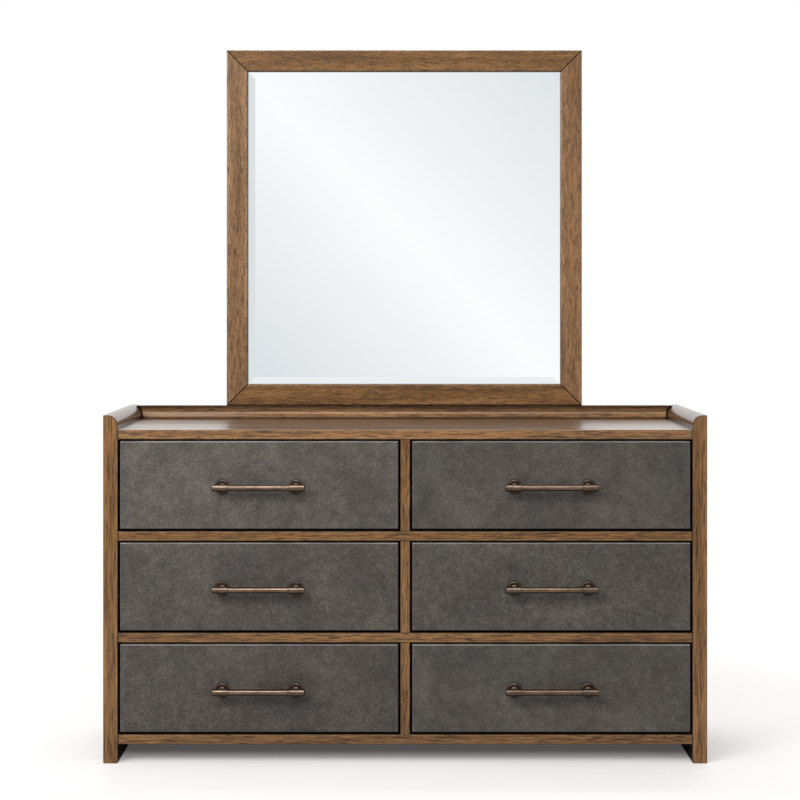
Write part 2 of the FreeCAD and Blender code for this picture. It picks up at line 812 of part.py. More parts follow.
def box_end(label, outer_y, inward):
    """The front or back of the box: pins at both ends, left standing between the cuts for the tails."""
    body = new_body(label)
    inner_y = outer_y + inward * size.box_board
    outline = rectangle((-BOX_HALF, BOX_HALF), (size.box_lift, BOX_TOP))
    pad(body, draw(sketch_on(body, "XZ_Plane", outer_y), outline), "XZ_Plane", size.box_board, toward=inward)
    shares = (size.tail_wide_share, size.tail_narrow_share)
    tail = dovetail(outer_y, inward, size.box_lift + TAIL_PITCH / 2, *shares, size.joint_clearance)
    cuts = []
    for hand in COLUMNS.values():
        sketch = draw(sketch_on(body, "YZ_Plane", hand * BOX_HALF), tail)
        cuts.append(cut(body, sketch, "YZ_Plane", size.box_board, toward=-hand))
    repeat_up(body, cuts, BOX_HEIGHT - TAIL_PITCH, TAIL_COUNT)
    reach = BOX_HALF - size.box_board + size.drawer_bottom_groove
    sketch = draw(sketch_on(body, "XZ_Plane", inner_y), rectangle((-reach, reach), groove_levels()))
    cut(body, sketch, "XZ_Plane", size.drawer_bottom_groove, toward=-inward)
    return body


def box_front():
    """The front of the box, bored for the handle screws."""
    body = box_end("box_front", BOX_FRONT, 1)
    bore_for_handle(body, BOX_FRONT, size.box_board)
    return body


def drawer_bottom():
    """The thin bottom, standing in the grooves of the box."""
    reach = BOX_HALF - size.box_board + size.drawer_bottom_groove - size.joint_clearance
    inset = size.box_board - size.drawer_bottom_groove + size.joint_clearance
    level = (GROOVE_FLOOR, GROOVE_FLOOR + size.drawer_bottom_thickness)
    return box("bottom_board", (-reach, reach), (BOX_FRONT + inset, BOX_BACK - inset), level)


def slide_member(label, corners):
    """One folded-steel slide member on the left wall of the bay.

    Its corners are given from the wall, and from the middle of its height.
    """
    body = new_body(label)
    middle = size.box_lift + size.slide_rise
    placed = [(u - BAY_WIDTH / 2, middle + v) for u, v in corners]
    sketch = draw(sketch_on(body, "XZ_Plane", SLIDE_FRONT), placed)
    pad(body, sketch, "XZ_Plane", SLIDE_LENGTH)
    return body


def channel(web, half, flange_end, lip_end):
    """Corners of a lipped channel that opens away from the wall."""
    sheet_thickness = size.slide_sheet
    lower = [
        (web, -half),
        (flange_end, -half),
        (flange_end, -lip_end),
        (flange_end - sheet_thickness, -lip_end),
        (flange_end - sheet_thickness, sheet_thickness - half),
        (web + sheet_thickness, sheet_thickness - half),
    ]
    upper = [(u, -v) for u, v in reversed(lower)]
    return lower + upper


def slide_members():
    """The three nested members: cabinet channel, middle channel and the hat that the drawer hangs on."""
    thickness = size.slide_sheet
    step = thickness + size.slide_gap
    half = size.slide_height / 2
    lip_end = half - size.slide_lip
    hat_foot = 2 * step
    hat_half = lip_end - size.slide_gap
    hat_reach = half - 2 * step
    lower = [
        (hat_foot, -hat_reach),
        (hat_foot + thickness, -hat_reach),
        (hat_foot + thickness, -hat_half),
        (size.slide_width, -hat_half),
    ]
    inner = [(hat_foot, hat_half - thickness), (size.slide_width - thickness, hat_half - thickness)]
    hat = lower + [(u, -v) for u, v in reversed(lower)] + inner + [(u, -v) for u, v in reversed(inner)]
    return (
        slide_member("cabinet_member", channel(ZERO, half, size.slide_flange, lip_end)),
        slide_member("middle_member", channel(step, half - step, size.slide_flange - step, lip_end)),
        slide_member("inner_member", hat),
    )


def handle_post():
    """A left-hand handle post: a rosette on the drawer face at Y = 0, a neck and the bar's sleeve."""
    body = new_body("handle_post")
    rosette = size.rosette_diameter / 2
    neck = size.neck_diameter / 2
    axis = -size.handle_standoff
    face = -size.rosette_thickness
    stem = [
        (ZERO, axis),
        (neck, axis),
        (neck, face - size.neck_flare),
        (neck + size.neck_flare, face),
        (rosette - size.rosette_chamfer, face),
        (rosette, face + size.rosette_chamfer),
        (rosette, ZERO),
        (ZERO, ZERO),
    ]
    spin(body, draw(sketch_on(body, "XY_Plane"), stem), "V_Axis")
    outer = -size.sleeve_overhang
    inner = outer + size.sleeve_length
    radius = size.sleeve_diameter / 2
    ring_end = inner - size.ring_setback
    ring_start = ring_end - size.ring_width
    ring_floor = radius - size.ring_depth
    sleeve = [
        (outer, ZERO),
        (inner, ZERO),
        (inner, radius),
        (ring_end, radius),
        (ring_end, ring_floor),
        (ring_start, ring_floor),
        (ring_start, radius),
        (outer + size.sleeve_end_chamfer, radius),
        (outer, radius - size.sleeve_end_chamfer),
    ]
    spin(body, draw(sketch_on(body, "XY_Plane", across=axis), sleeve), "H_Axis")
    bore = size.bar_diameter / 2 + size.bar_clearance
    hole = rectangle((outer + size.sleeve_end_wall, inner + size.overrun), (ZERO, bore))
    spin(body, draw(sketch_on(body, "XY_Plane", across=axis), hole), "H_Axis", "PartDesign::Groove")
    thread = size.handle_screw_diameter / 2 + size.bar_clearance
    sketch = draw_circles(sketch_on(body, "XZ_Plane"), [(ZERO, ZERO)], thread)
    cut(body, sketch, "XZ_Plane", size.handle_screw_grip, toward=-1)
    return body


def handle_bar():
    """The plain bar between the two sleeves' end walls."""
    bar = doc.addObject("Part::Cylinder", "bar")
    bar.Label = "bar"
    bind(bar, "Radius", size.bar_diameter / 2)
    half = size.handle_spacing / 2 + size.sleeve_overhang - size.sleeve_end_wall
    bind(bar, "Height", 2 * half)
    return place(bar, -half, size.drawer_setback - size.handle_standoff, HANDLE_LEVEL, FULL_TURN / 4)


def handle_screw():
    """A pan-head screw from inside the box into a handle post, whose foot is at Y = 0."""
    body = new_body("handle_screw")
    shank = size.handle_screw_diameter / 2
    head = size.handle_screw_head_diameter / 2
    seat = size.front_thickness + size.box_board
    corners = [
        (ZERO, -size.handle_screw_grip),
        (shank, -size.handle_screw_grip),
        (shank, seat),
        (head, seat),
        (head, seat + size.handle_screw_head_height),
        (ZERO, seat + size.handle_screw_head_height),
    ]
    spin(body, draw(sketch_on(body, "XY_Plane"), corners), "V_Axis")
    return body


def handle():
    """Bar, two posts and two screws, in the drawer's frame."""
    post = handle_post()
    screw = handle_screw()
    pieces = [handle_bar()]
    for (x, z), turn in zip(handle_places(), (0, FULL_TURN / 2)):
        pieces.append(group("post", [post], x, size.drawer_setback, z, turn))
        pieces.append(group("post_screw", [screw], x, size.drawer_setback, z))
    return pieces


def build_drawers():
    side = box_side()
    cabinet, middle, inner = slide_members()
    pieces = {
        "front": [drawer_front()],
        "box": [side, mirrored("box_right_side", side), box_front(), box_end("box_back", BOX_BACK, -1)],
        "bottom": [drawer_bottom()],
        "handle": handle(),
        "slide_middle": [middle, mirrored("middle_right", middle)],
        "slide_inner": [inner, mirrored("inner_right", inner)],
    }
    cabinet_pair = [cabinet, mirrored("cabinet_right", cabinet)]
    nodes = []
    cabinet_members = []
    for index, row in enumerate(ROWS):
        for column, hand in COLUMNS.items():
            where = (hand * BAY_CENTRE, CASE_FRONT, BAY_FLOOR + index * BAY_STEP)
            for piece, parts in pieces.items():
                nodes.append(group(f"drawer_{row}_{column}_{piece}", parts, *where))
            cabinet_members.append(group(f"cabinet_{row}_{column}", cabinet_pair, *where))
    nodes.append(group("slide_cabinet_members", cabinet_members))
    return nodes


def write_parts(nodes):
    """Checks every object and every shape, then writes one file for each node."""
    doc.recompute()
    failed = [thing.Label for thing in doc.Objects if {"Invalid", "Error"} & set(thing.State)]
    failed += [node.Label for node in nodes if node.Shape.isNull() or not node.Shape.isValid()]
    if failed:
        raise ValueError(f"failed: {failed}")
    os.makedirs("parts", exist_ok=True)
    for node in nodes:
        node.Shape.exportStep(f"parts/{node.Label}.step")


write_parts(build_case() + build_mirror() + build_drawers())
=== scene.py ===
import math

import bpy
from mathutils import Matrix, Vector


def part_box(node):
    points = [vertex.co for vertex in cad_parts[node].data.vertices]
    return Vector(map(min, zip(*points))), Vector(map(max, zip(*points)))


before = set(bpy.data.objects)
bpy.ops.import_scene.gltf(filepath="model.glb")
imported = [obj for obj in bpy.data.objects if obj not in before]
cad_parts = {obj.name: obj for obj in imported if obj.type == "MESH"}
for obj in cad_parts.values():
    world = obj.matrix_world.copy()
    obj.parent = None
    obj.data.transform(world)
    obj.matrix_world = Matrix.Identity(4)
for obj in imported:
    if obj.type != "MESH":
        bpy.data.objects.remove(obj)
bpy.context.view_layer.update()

ROWS = ("lower", "middle", "upper")
COLUMNS = ("left", "right")
DRAWERS = [f"drawer_{row}_{column}" for row in ROWS for column in COLUMNS]

# Where boards meet, read from the frame. All lengths are in metres.
SIDE_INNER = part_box("right_side_panel")[0].x
CASE_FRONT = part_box("right_side_panel")[0].y
CASE_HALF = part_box("right_side_panel")[1].x
TOP_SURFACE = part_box("top_panel")[1].z
GALLERY_LOW, GALLERY_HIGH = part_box("gallery_rail")
MIRROR_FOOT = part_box("mirror_bottom_bar")[0].z
MIRROR_CENTRE = (MIRROR_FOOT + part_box("mirror_top_bar")[1].z) / 2
FRONT_RAILS = ("lower_front_rail", "upper_front_rail")
RAIL_EDGES = [corner.z for rail in FRONT_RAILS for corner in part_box(rail)]
FACE_LOW, FACE_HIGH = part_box("drawer_upper_right_front")
BAY_CENTRE = (FACE_LOW.x + FACE_HIGH.x) / 2
HANDLE_LOW, HANDLE_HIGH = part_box("drawer_upper_right_handle")
HANDLE_HALF = (HANDLE_HIGH.x - HANDLE_LOW.x) / 2

# Forms of the part's source that no box tells
SIDE_ROUND = 0.026
ROUND_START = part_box("right_side_panel")[1].z - SIDE_ROUND
SLEEVE_END = 0.078
ROSETTE_PLACE = 0.096
ROSETTE_RADIUS = 0.018
BOX_BOARD = 0.012
TAIL_COUNT = 4
TAIL_WIDE_SHARE = 0.72
TAIL_NARROW_SHARE = 0.60

# Camera: straight on, with the photograph's framing made by the lens shift
CAMERA_PLACE = (-0.026, -4.5685, 1.200)
CAMERA_LENS = 75.2
CAMERA_SHIFT = (0.0060, -0.121)
UPRIGHT = (math.pi / 2, 0, 0)

# Light, at a level where a colour renders about as it is written. Each lamp has a name, a place,
# an aim, a size and a power.
LAMPS = (
    ("key_lamp", (-2.5, -3.0, 2.8), (0, -0.2, 0.7), (2.2, 2.2), 120),
    ("front_lamp", (-0.5, -3.7, 4.3), (0, -0.2, 0.6), (2.4, 0.8), 65),
    ("fill_lamp", (3.2, -3.6, 1.8), (0, -0.2, 0.7), (2.0, 2.0), 8),
    ("top_lamp", (0, -0.6, 4.4), (0, -0.3, 0), (3.6, 2.4), 60),
    ("back_lamp", (0.4, 2.8, 3.4), (0.2, 0.3, 0.2), (5.0, 1.5), 110),
)
WHITE = (1, 1, 1, 1)
AMBIENT = 0.34
# What gloss shows in front of the object, left and right, and where it turns from one to the other
STUDIO_DARK = (0.14, 0.40)
STUDIO_TURN = (-0.02, 0.06)
# What the mirror shows in front of the object, and what gloss shows behind it
STUDIO_LIGHT = 0.94
BACKDROP_GLOW = 1.2
BACKDROP_TURN = (-0.5, 0.0)
FIRST_REFLECTION = 1.5

# Floor: its colours, and the shares of plain white that hold its shadow to the photograph's
FLOOR_SIZE = 60
FLOOR_SEEN = (0.86, 0.853, 0.848, 1)
FLOOR_BOUNCE = (0.42, 0.41, 0.40, 1)
FLOOR_SHADE = (1.0, 0.94, 0.89, 1)
FLOOR_ROUGHNESS = 0.9
FLOOR_SPECULAR = 0.1
FLOOR_IN_MIRROR = 0.88
UNDER_WHITE = 0.07
BESIDE_BAND = (CASE_HALF - 0.02, CASE_HALF + 0.02)
BESIDE_DEPTHS, BESIDE_WHITE = (-0.05, 0.30), (0.30, 0.68)
BEFORE_DEPTHS, BEFORE_WHITE = (-0.026, -0.23), (0.0, 0.36)
FRINGE_DEPTHS, FRINGE_WHITE = (-0.35, -0.54), (0.0, 0.95)
FAR_BAND = (0.85, 1.6)

# Card behind the camera, whose diagonal glow the mirror shows
CARD_SIZE = 8
CARD_PLACE = (0, -8, 1.78)
CARD_REACH = 1.25
GLOW_SKEW = -1.25
GLOW_SCALE = 0.33
GLOW_STOPS = ((0.0, WHITE), (0.42, (0.875, 0.895, 0.91, 1)), (1.0, (0.72, 0.755, 0.78, 1)))
CARD_LEFT_BAND = (-1.5, -1.9)
CARD_LEFT = (0.74, 0.77, 0.785, 1)

# Wood colours, as linear light
OAK_DARK = (0.045, 0.024, 0.012, 1)
OAK_SHADE = (0.148, 0.072, 0.027, 1)
OAK_MID = (0.222, 0.109, 0.040, 1)
OAK_LIGHT = (0.360, 0.182, 0.069, 1)
OAK_PORE = (0.022, 0.012, 0.006, 1)
OAK_WORN = (0.360, 0.215, 0.110, 1)
# Painted highlight on the gallery rail
OAK_HIGHLIGHT = (0.46, 0.34, 0.26, 1)
# Painted shade on the glossy upper faces of the top and of the rounds
PAINTED_SHADE_OAK = (0.036, 0.020, 0.011, 1)
# Dark joints, and painted shade and shadow where boards meet
JOINT_AND_SHADE_DARK = (0.012, 0.007, 0.004, 1)
# Painted shade inside the case, behind its front faces
INSIDE_SHADE = (0.020, 0.013, 0.008, 1)
BIRCH = ((0.42, 0.27, 0.14, 1), (0.60, 0.42, 0.25, 1))
BIRCH_END = ((0.25, 0.145, 0.070, 1), (0.38, 0.235, 0.125, 1))
BIRCH_WORN = (0.30, 0.19, 0.10, 1)
STAINED_BOARD = ((0.17, 0.105, 0.06, 1), (0.25, 0.165, 0.10, 1))

# Oak. The layers of its grain have repeats per metre across and along it, what a full curl adds
# along it, and the noise's detail and roughness. The waves have a reach and what a curl adds to it.
OAK_LAYERS = {
    "bands": (34, 2.2, 0, 3, 0.6),
    "strands": (240, 15, 22, 2, 0.55),
    "lines": (430, 22, 26, 1, 0.5),
    "pores": (560, 30, 12, 2, 0.6),
    "fibres": (2600, 60, 0, 1, 0.5),
}
OAK_WAVES = ((22, 7, 12, 0.008, 0.010), (110, 34, 40, 0.0025, 0.004))
OAK_GROUND = ((0.34, OAK_SHADE), (0.50, OAK_MID), (0.68, OAK_LIGHT))
FIBRE_SHARE, BAND_SHARE = 0.16, 0.84
# Stains over the ground: a layer, the band of its levels, a share and a colour
OAK_STAINS = (
    ("strands", (0.54, 0.63), 0.55, OAK_LIGHT),
    ("strands", (0.45, 0.35), 0.75, OAK_DARK),
    ("lines", (0.57, 0.64), 0.85, OAK_DARK),
)
PIT_PORES, PIT_STRANDS, PIT_SHARE = (0.59, 0.66), (0.66, 0.46), 0.85
FLECK_PORES, FLECK_SHARE = (0.40, 0.32), 0.5
RUB_REPEATS, RUB_LEVELS, RUB_SHARE = (60, 60, 24), (0.40, 0.68), 0.45
RUB_BAND = (0.0050, 0.0028)
# Painted shade along the arrises
ARRIS_BAND, ARRIS_SHARE = (0.0024, 0.0010), 0.6
# How much the glossy upper faces are painted dark as shade
UPPER_SHADE_SHARE = 0.74
MIDDLE_LEVELS = (0.3, 0.7)
STRAND_GLOSS, PIT_DULL, WORN_DULL = 0.04, 0.22, 0.2
STREAK_LEVELS = (0.36, 0.64)
OAK_SPECULAR = 0.42
COAT_ROUGHNESS = 0.30
STRAND_HEIGHT, OAK_RELIEF, OAK_DEPTH = 0.7, 0.3, 0.0005

# Leather: each drawer's tone in the order of DRAWERS, whose differences are painted light and
# shade, its colours, and its layers, which have repeats per metre, the noise's detail, roughness
# and distortion, and a share
HIDE_PAINTED_LIGHT = (0.83, 0.96, 0.91, 0.90, 1.02, 0.84)
HIDE_LEVELS = (0.41, 0.50, 0.59)
HIDE_GREYS = ((0.042, 0.039, 0.035, 1), (0.074, 0.068, 0.060, 1), (0.132, 0.122, 0.108, 1))
HIDE_BROWNS = ((0.048, 0.037, 0.029, 1), (0.080, 0.065, 0.053, 1), (0.142, 0.117, 0.097, 1))
HIDE_FLECK = (0.20, 0.185, 0.165, 1)
# Pale edges of the hide: wear, and a painted highlight along the top
HIDE_WEAR_AND_HIGHLIGHT = (0.29, 0.275, 0.25, 1)
# Painted shade along the foot and sides of a front, and round the rosettes
HIDE_SHADE = (0.006, 0.005, 0.005, 1)
HIDE_LAYERS = {
    "clouds": (6, 3, 0.6, 0.5, 0.22),
    "mottle": (42, 3, 0.65, 0.0, 0.22),
    "speckle": (230, 2, 0.7, 0.0, 0.40),
    "fine": (560, 1, 0.5, 0.0, 0.16),
}
PEBBLE_REPEATS, PEBBLE_SMOOTHNESS, PEBBLE_HEIGHT, SPECKLE_HEIGHT = 620, 0.6, -0.5, 0.8
WARM_REPEATS, WARM_LEVELS, WARM_SHARES = 9, (0.36, 0.66), (0.30, 0.62)
FINE_LEVELS, FINE_SHARE = (0.66, 0.76), 0.5
PATCH_REPEATS, PATCH_LEVELS, PATCH_SHARES = 11, (0.3, 0.6), (0.45, 1.0)
# Pale rim along all edges, which is wear, and pale crest along the top, a painted highlight
RIM_BAND, RIM_SHARE = (0.0040, 0.0015), 0.28
CREST_BAND, CREST_SHARE = (0.0040, 0.0018), 0.75
# Painted shade along the foot and sides of a front, and painted shadow in rings round the rosettes
SHADE_FOOT, SHADE_SIDE, SHADE_SHARE = (0.0040, 0.0022), (0.0024, 0.0008), 0.92
RING_BAND, RING_SHARE = (ROSETTE_RADIUS + 0.0050, ROSETTE_RADIUS + 0.0005), 0.85
HIDE_ROUGHNESS, HIDE_SPECULAR = (0.48, 0.60), 0.5
HIDE_RELIEF, HIDE_DEPTH = 0.45, 0.0007

# Bronze of the handles, with the bands and shares of its painted shade
BRONZE_SHADE = (0.045, 0.030, 0.022, 1)
BRONZE_STOPS = ((0.35, (0.208, 0.142, 0.101, 1)), (0.68, (0.326, 0.235, 0.174, 1)))
BRONZE_WEAR, BRONZE_BRUSH = (26, 80, 80), (5, 900, 900)
BRONZE_ROUGHNESS, BRONZE_RELIEF = (0.36, 0.31), 0.01
BEHIND_BAR, BEHIND_SHARE = (0.016, 0.008), 0.72
SLEEVE_LINE, SLEEVE_LINE_SHARE = (0.0022, 0.0008), 0.75
SLEEVE_BAND, SLEEVE_SHARE = (SLEEVE_END, SLEEVE_END + 0.003), 0.2
TIP_BAND, TIP_SHARE = (HANDLE_HALF - 0.0030, HANDLE_HALF - 0.0008), 0.9
CROWN_FACING, CROWN_SHARE = (0.50, 0.80), 0.92
BELLY_FACING, BELLY_SHARE, BELLY_DEPTH = (-0.15, -0.65), 0.88, (0.012, 0.018)

# Steel of the slides and screws, and silvered glass
STEEL_STOPS = ((0.3, (0.016, 0.016, 0.017, 1)), (0.7, (0.045, 0.045, 0.047, 1)))
STEEL_LINES, STEEL_BLOOM, LINE_SHARE, BLOOM_SHARE = (900, 14, 900), 45, 0.4, 0.6
STEEL_METALLIC, STEEL_ROUGHNESS, STEEL_RELIEF = 0.4, (0.55, 0.38), 0.08
METAL_DEPTH = 0.0002
SILVER_STOPS = ((0.35, (0.960, 0.970, 0.976, 1)), (0.65, (0.970, 0.980, 0.984, 1)))
SILVER_RIM = (0.90, 0.955, 0.985, 1)
SILVER_RIM_BAND = (0.0135, 0.0105)
HAZE_REPEATS = 2.5

# Unstained wood: repeats of its two layers, their shares, and half its ramp's width
PALE_BANDS, PALE_STRANDS = (40, 40, 1.3), (420, 420, 11)
PALE_BAND_SHARE, PALE_STRAND_SHARE, PALE_HALF = 0.7, 0.3, 0.2
PALE_ROUGHNESS, PALE_RELIEF, PALE_DEPTH = (0.48, 0.62), 0.2, 0.0003
BIRCH_ROUGHNESS, BIRCH_RELIEF = (0.42, 0.56), 0.15
BIRCH_RUB, BIRCH_RUB_BAND, BIRCH_RUB_SHARES = (30, 30, 30), (0.0030, 0.0008), (0.2, 0.7)
END_FACING = 0.7

# Joint lines of the wooden boards, and lines and corners of painted shade: bands of a distance,
# from where a line is gone to where it is full, and the share that a full line takes
END_LINE = (0.0026, 0.0014)
STILE_LINE, STILE_SHARE = (0.0016, 0.0006), 0.7
MITRE_LINE = (0.0027, 0.0015)
FOOT_LINE = (0.0034, 0.0022)
ROUND_LINE, ROUND_SHARE, ROUND_DEPTH = (0.0026, 0.0012), 0.85, (0.0040, 0.0020)
CORNER_FOOT, CORNER_REAR, CORNER_SHARE = (0.0050, 0.0020), (0.026, 0.006), 0.9
CORNER_END = 0.012

# Zones of the wooden boards where shade is painted: bands of a distance
INSIDE_DEPTH = (0.0022, 0.0036)
FRONT_DEPTH = (0.0022, 0.0050)
UNDERSIDE_BAND = (TOP_SURFACE - 0.021, TOP_SURFACE - 0.023)
INNER_FACE_BAND = (SIDE_INNER + 0.0012, SIDE_INNER + 0.0004)
INNER_FACE_TOP = TOP_SURFACE - 0.004
UPPER_FACE_BAND = (TOP_SURFACE - 0.003, TOP_SURFACE - 0.001)
ROUND_INWARD = (CASE_HALF - 0.0015, CASE_HALF - 0.0040)
ROUND_ABOVE = (TOP_SURFACE - 0.002, TOP_SURFACE + 0.002)

# Gallery rail: painted light and shade by heights as shares of the rail's own, with the tone
# there, painted shade at its ends, and a painted highlight below its ledge and at its face's left
# end
GALLERY_TONES = (
    (0.0, 0.3), (0.16, 0.3), (0.24, 1.2), (0.42, 1.4), (0.46, 1.7), (0.52, 1.7), (0.57, 0.75),
    (0.95, 0.65), (0.98, 0.25),
)
GALLERY_SCALE = 3.0
GALLERY_END_BAND, GALLERY_END_TONE = (0.0060, 0.0020), 0.3
LEDGE_PLACE, LEDGE_BAND, LEDGE_SHARE = 0.49, (0.055, 0.025), 0.55
FACE_FOOT, FACE_TOP = (0.20, 0.30), (0.54, 0.50)
PALE_END, PALE_END_SHARE = (-0.36, -0.60), 0.5
HIGHLIGHT_CLEAR = (0.002, 0.008)


# Shader nodes


def feed(tree, socket, value):
    """Links an output to a socket, or sets the socket's own value."""
    if isinstance(value, bpy.types.NodeSocket):
        tree.links.new(value, socket)
    else:
        socket.default_value = value


def add(tree, kind, inputs, **settings):
    """Adds a shader node with its settings and inputs."""
    made = tree.nodes.new(kind)
    for name, value in settings.items():
        setattr(made, name, value)
    for name, value in inputs.items():
        feed(tree, made.inputs[name], value)
    return made


def maths(tree, operation, *values):
    return add(tree, "ShaderNodeMath", dict(enumerate(values)), operation=operation).outputs[0]


def joined(tree, operation, *values):
    """Takes an operation of two values over all values in turn."""
    result = values[0]
    for value in values[1:]:
        result = maths(tree, operation, result, value)
    return result


def parts_of(tree, point):
    """The three coordinates of a point."""
    return add(tree, "ShaderNodeSeparateXYZ", {0: point}).outputs


def facing_of(tree):
    """The three coordinates of the way a surface faces."""
    return parts_of(tree, tree.nodes.new("ShaderNodeNewGeometry").outputs["Normal"])


def stretched(tree, point, scale, shift=(0, 0, 0)):
    """A point in a space that is stretched along each axis and then moved."""
    inputs = {0: point, 1: scale, 2: shift}
    return add(tree, "ShaderNodeVectorMath", inputs, operation="MULTIPLY_ADD").outputs[0]


def noise(tree, point, scale, detail=2.0, rough=0.5, distortion=0.0, output="Fac"):
    inputs = {
        "Vector": point, "Scale": scale, "Detail": detail, "Roughness": rough,
        "Distortion": distortion,
    }
    return add(tree, "ShaderNodeTexNoise", inputs).outputs[output]


def spread(tree, value, low, high, to_low=0.0, to_high=1.0):
    """Maps a range of a value smoothly to another range."""
    inputs = {
        "Value": value, "From Min": low, "From Max": high, "To Min": to_low, "To Max": to_high,
    }
    made = add(tree, "ShaderNodeMapRange", inputs, interpolation_type="SMOOTHSTEP")
    return made.outputs["Result"]


def ramp(tree, value, *stops):
    """Blends colours along a value. Each stop is a place and a colour."""
    made = add(tree, "ShaderNodeValToRGB", {"Fac": value})
    elements = made.color_ramp.elements
    while len(elements) < len(stops):
        elements.new(0.5)
    for element, (place, colour) in zip(elements, stops):
        element.position = place
        element.color = colour
    return made.outputs["Color"]


def blend(tree, share, first, second):
    """Mixes two colours."""
    made = tree.nodes.new("ShaderNodeMix")
    made.data_type = "RGBA"
    for index, value in ((0, share), (6, first), (7, second)):
        feed(tree, made.inputs[index], value)
    return made.outputs[2]


def between(tree, share, first, second):
    """Mixes two numbers."""
    return add(tree, "ShaderNodeMix", {0: share, 2: first, 3: second}).outputs[0]


def toned(tree, colour, value, saturation=1.0):
    """A colour made lighter or darker, and greyer or stronger."""
    inputs = {"Saturation": saturation, "Value": value, "Color": colour}
    return add(tree, "ShaderNodeHueSaturation", inputs).outputs["Color"]


def bump(tree, height, strength, distance):
    inputs = {"Height": height, "Strength": strength, "Distance": distance}
    return add(tree, "ShaderNodeBump", inputs).outputs["Normal"]


def new_material(name):
    """An empty material: its tree, its surface shader and the point on the piece in metres."""
    material = bpy.data.materials.new(name)
    material.use_nodes = True
    tree = material.node_tree
    shader = tree.nodes["Principled BSDF"]
    point = tree.nodes.new("ShaderNodeTexCoord").outputs["Object"]
    return material, tree, shader, point


# Distances


def off_place(tree, value, place):
    """How far a coordinate is from a place."""
    return maths(tree, "ABSOLUTE", maths(tree, "SUBTRACT", value, place))


def off_centre(tree, parts):
    """How far a point is from the middle of the dresser, left or right."""
    return maths(tree, "ABSOLUTE", parts[0])


def length_of(tree, across, up):
    """The length of a way that goes across and up."""
    squares = maths(tree, "ADD", maths(tree, "POWER", across, 2), maths(tree, "POWER", up, 2))
    return maths(tree, "SQRT", squares)


def from_faces(tree, parts, node):
    """How far a point lies from a node's nearer end face along each axis."""
    distances = []
    for part, low, high in zip(parts, *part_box(node)):
        off_middle = off_place(tree, part, (low + high) / 2)
        distances.append(maths(tree, "SUBTRACT", (high - low) / 2, off_middle))
    return distances


def from_edge(tree, parts, node):
    """How far a point on a board's surface is from the board's nearest edge.

    That is the middle one of its three distances from the end faces.
    """
    x, y, z = from_faces(tree, parts, node)
    near, far = maths(tree, "MINIMUM", x, y), maths(tree, "MAXIMUM", x, y)
    return maths(tree, "MAXIMUM", near, maths(tree, "MINIMUM", far, z))


def from_round(tree, parts):
    """How far a point lies inward of a side's inner face and of the round above it."""
    across = maths(tree, "SUBTRACT", off_centre(tree, parts), SIDE_INNER + SIDE_ROUND)
    up = maths(tree, "MAXIMUM", maths(tree, "SUBTRACT", parts[2], ROUND_START), 0)
    return maths(tree, "SUBTRACT", length_of(tree, across, up), SIDE_ROUND)


def behind_case_front(tree, parts, band):
    """Spreads over a band of depths behind the front faces of the case."""
    return spread(tree, maths(tree, "SUBTRACT", parts[1], CASE_FRONT), *band)


def gallery_rise(tree, parts):
    """A point's height on the gallery rail, as a share of the rail's own."""
    up = maths(tree, "SUBTRACT", parts[2], GALLERY_LOW.z)
    return maths(tree, "DIVIDE", up, GALLERY_HIGH.z - GALLERY_LOW.z)


# Joint lines of the wooden boards, and lines of painted shade


def end_joint(tree, parts):
    """The line where a board between the sides meets them."""
    return spread(tree, off_place(tree, off_centre(tree, parts), SIDE_INNER), *END_LINE)


def stile_joint(tree, parts):
    """The lines where the stile meets the rails."""
    lines = [off_place(tree, parts[2], level) for level in RAIL_EDGES]
    return spread(tree, joined(tree, "MINIMUM", *lines), *STILE_LINE, 0.0, STILE_SHARE)


def mitre_joint(tree, parts):
    """The grooves between the mitred bars of the mirror frame."""
    off_middle = off_place(tree, parts[2], MIRROR_CENTRE)
    return spread(tree, off_place(tree, off_centre(tree, parts), off_middle), *MITRE_LINE)


def round_shade_lines(tree, parts):
    """Painted shade on a side's round.

    It lies along the arris in front of it, and in the corners where it meets the top and the
    gallery.
    """
    off_round = maths(tree, "ABSOLUTE", from_round(tree, parts))
    arris = spread(tree, off_round, *ROUND_LINE, 0.0, ROUND_SHARE)
    is_high = maths(tree, "GREATER_THAN", parts[2], ROUND_START)
    in_front = behind_case_front(tree, parts, ROUND_DEPTH)
    arris = joined(tree, "MULTIPLY", arris, is_high, in_front)
    above_top = maths(tree, "SUBTRACT", parts[2], TOP_SURFACE)
    foot = spread(tree, above_top, *CORNER_FOOT, 0.0, CORNER_SHARE)
    off_gallery = off_place(tree, parts[1], GALLERY_LOW.y)
    rear = spread(tree, off_gallery, *CORNER_REAR, 0.0, CORNER_SHARE)
    rear_end = spread(tree, parts[1], GALLERY_LOW.y + CORNER_END, GALLERY_LOW.y)
    rear = maths(tree, "MULTIPLY", rear, rear_end)
    corner = maths(tree, "MULTIPLY", maths(tree, "MAXIMUM", foot, rear), on_rounds(tree, parts))
    inner = maths(tree, "LESS_THAN", off_centre(tree, parts), SIDE_INNER + SIDE_ROUND)
    return maths(tree, "MULTIPLY", maths(tree, "MAXIMUM", arris, corner), inner)


def foot_joints_and_shadow(tree, parts):
    """The mitres of the bottom bar, and painted shadow at its foot on the gallery rail."""
    gap = spread(tree, maths(tree, "SUBTRACT", parts[2], MIRROR_FOOT), *FOOT_LINE)
    return maths(tree, "MAXIMUM", gap, mitre_joint(tree, parts))


# Zones of the wooden boards where light and shade are painted


def shade_inside_rails(tree, parts):
    """Painted shade on the faces behind the front edges of the boards between the drawers."""
    return behind_case_front(tree, parts, INSIDE_DEPTH)


def shade_under_top(tree, parts):
    """Painted shade on the underside of the top."""
    under = spread(tree, parts[2], *UNDERSIDE_BAND)
    return maths(tree, "MULTIPLY", under, shade_inside_rails(tree, parts))


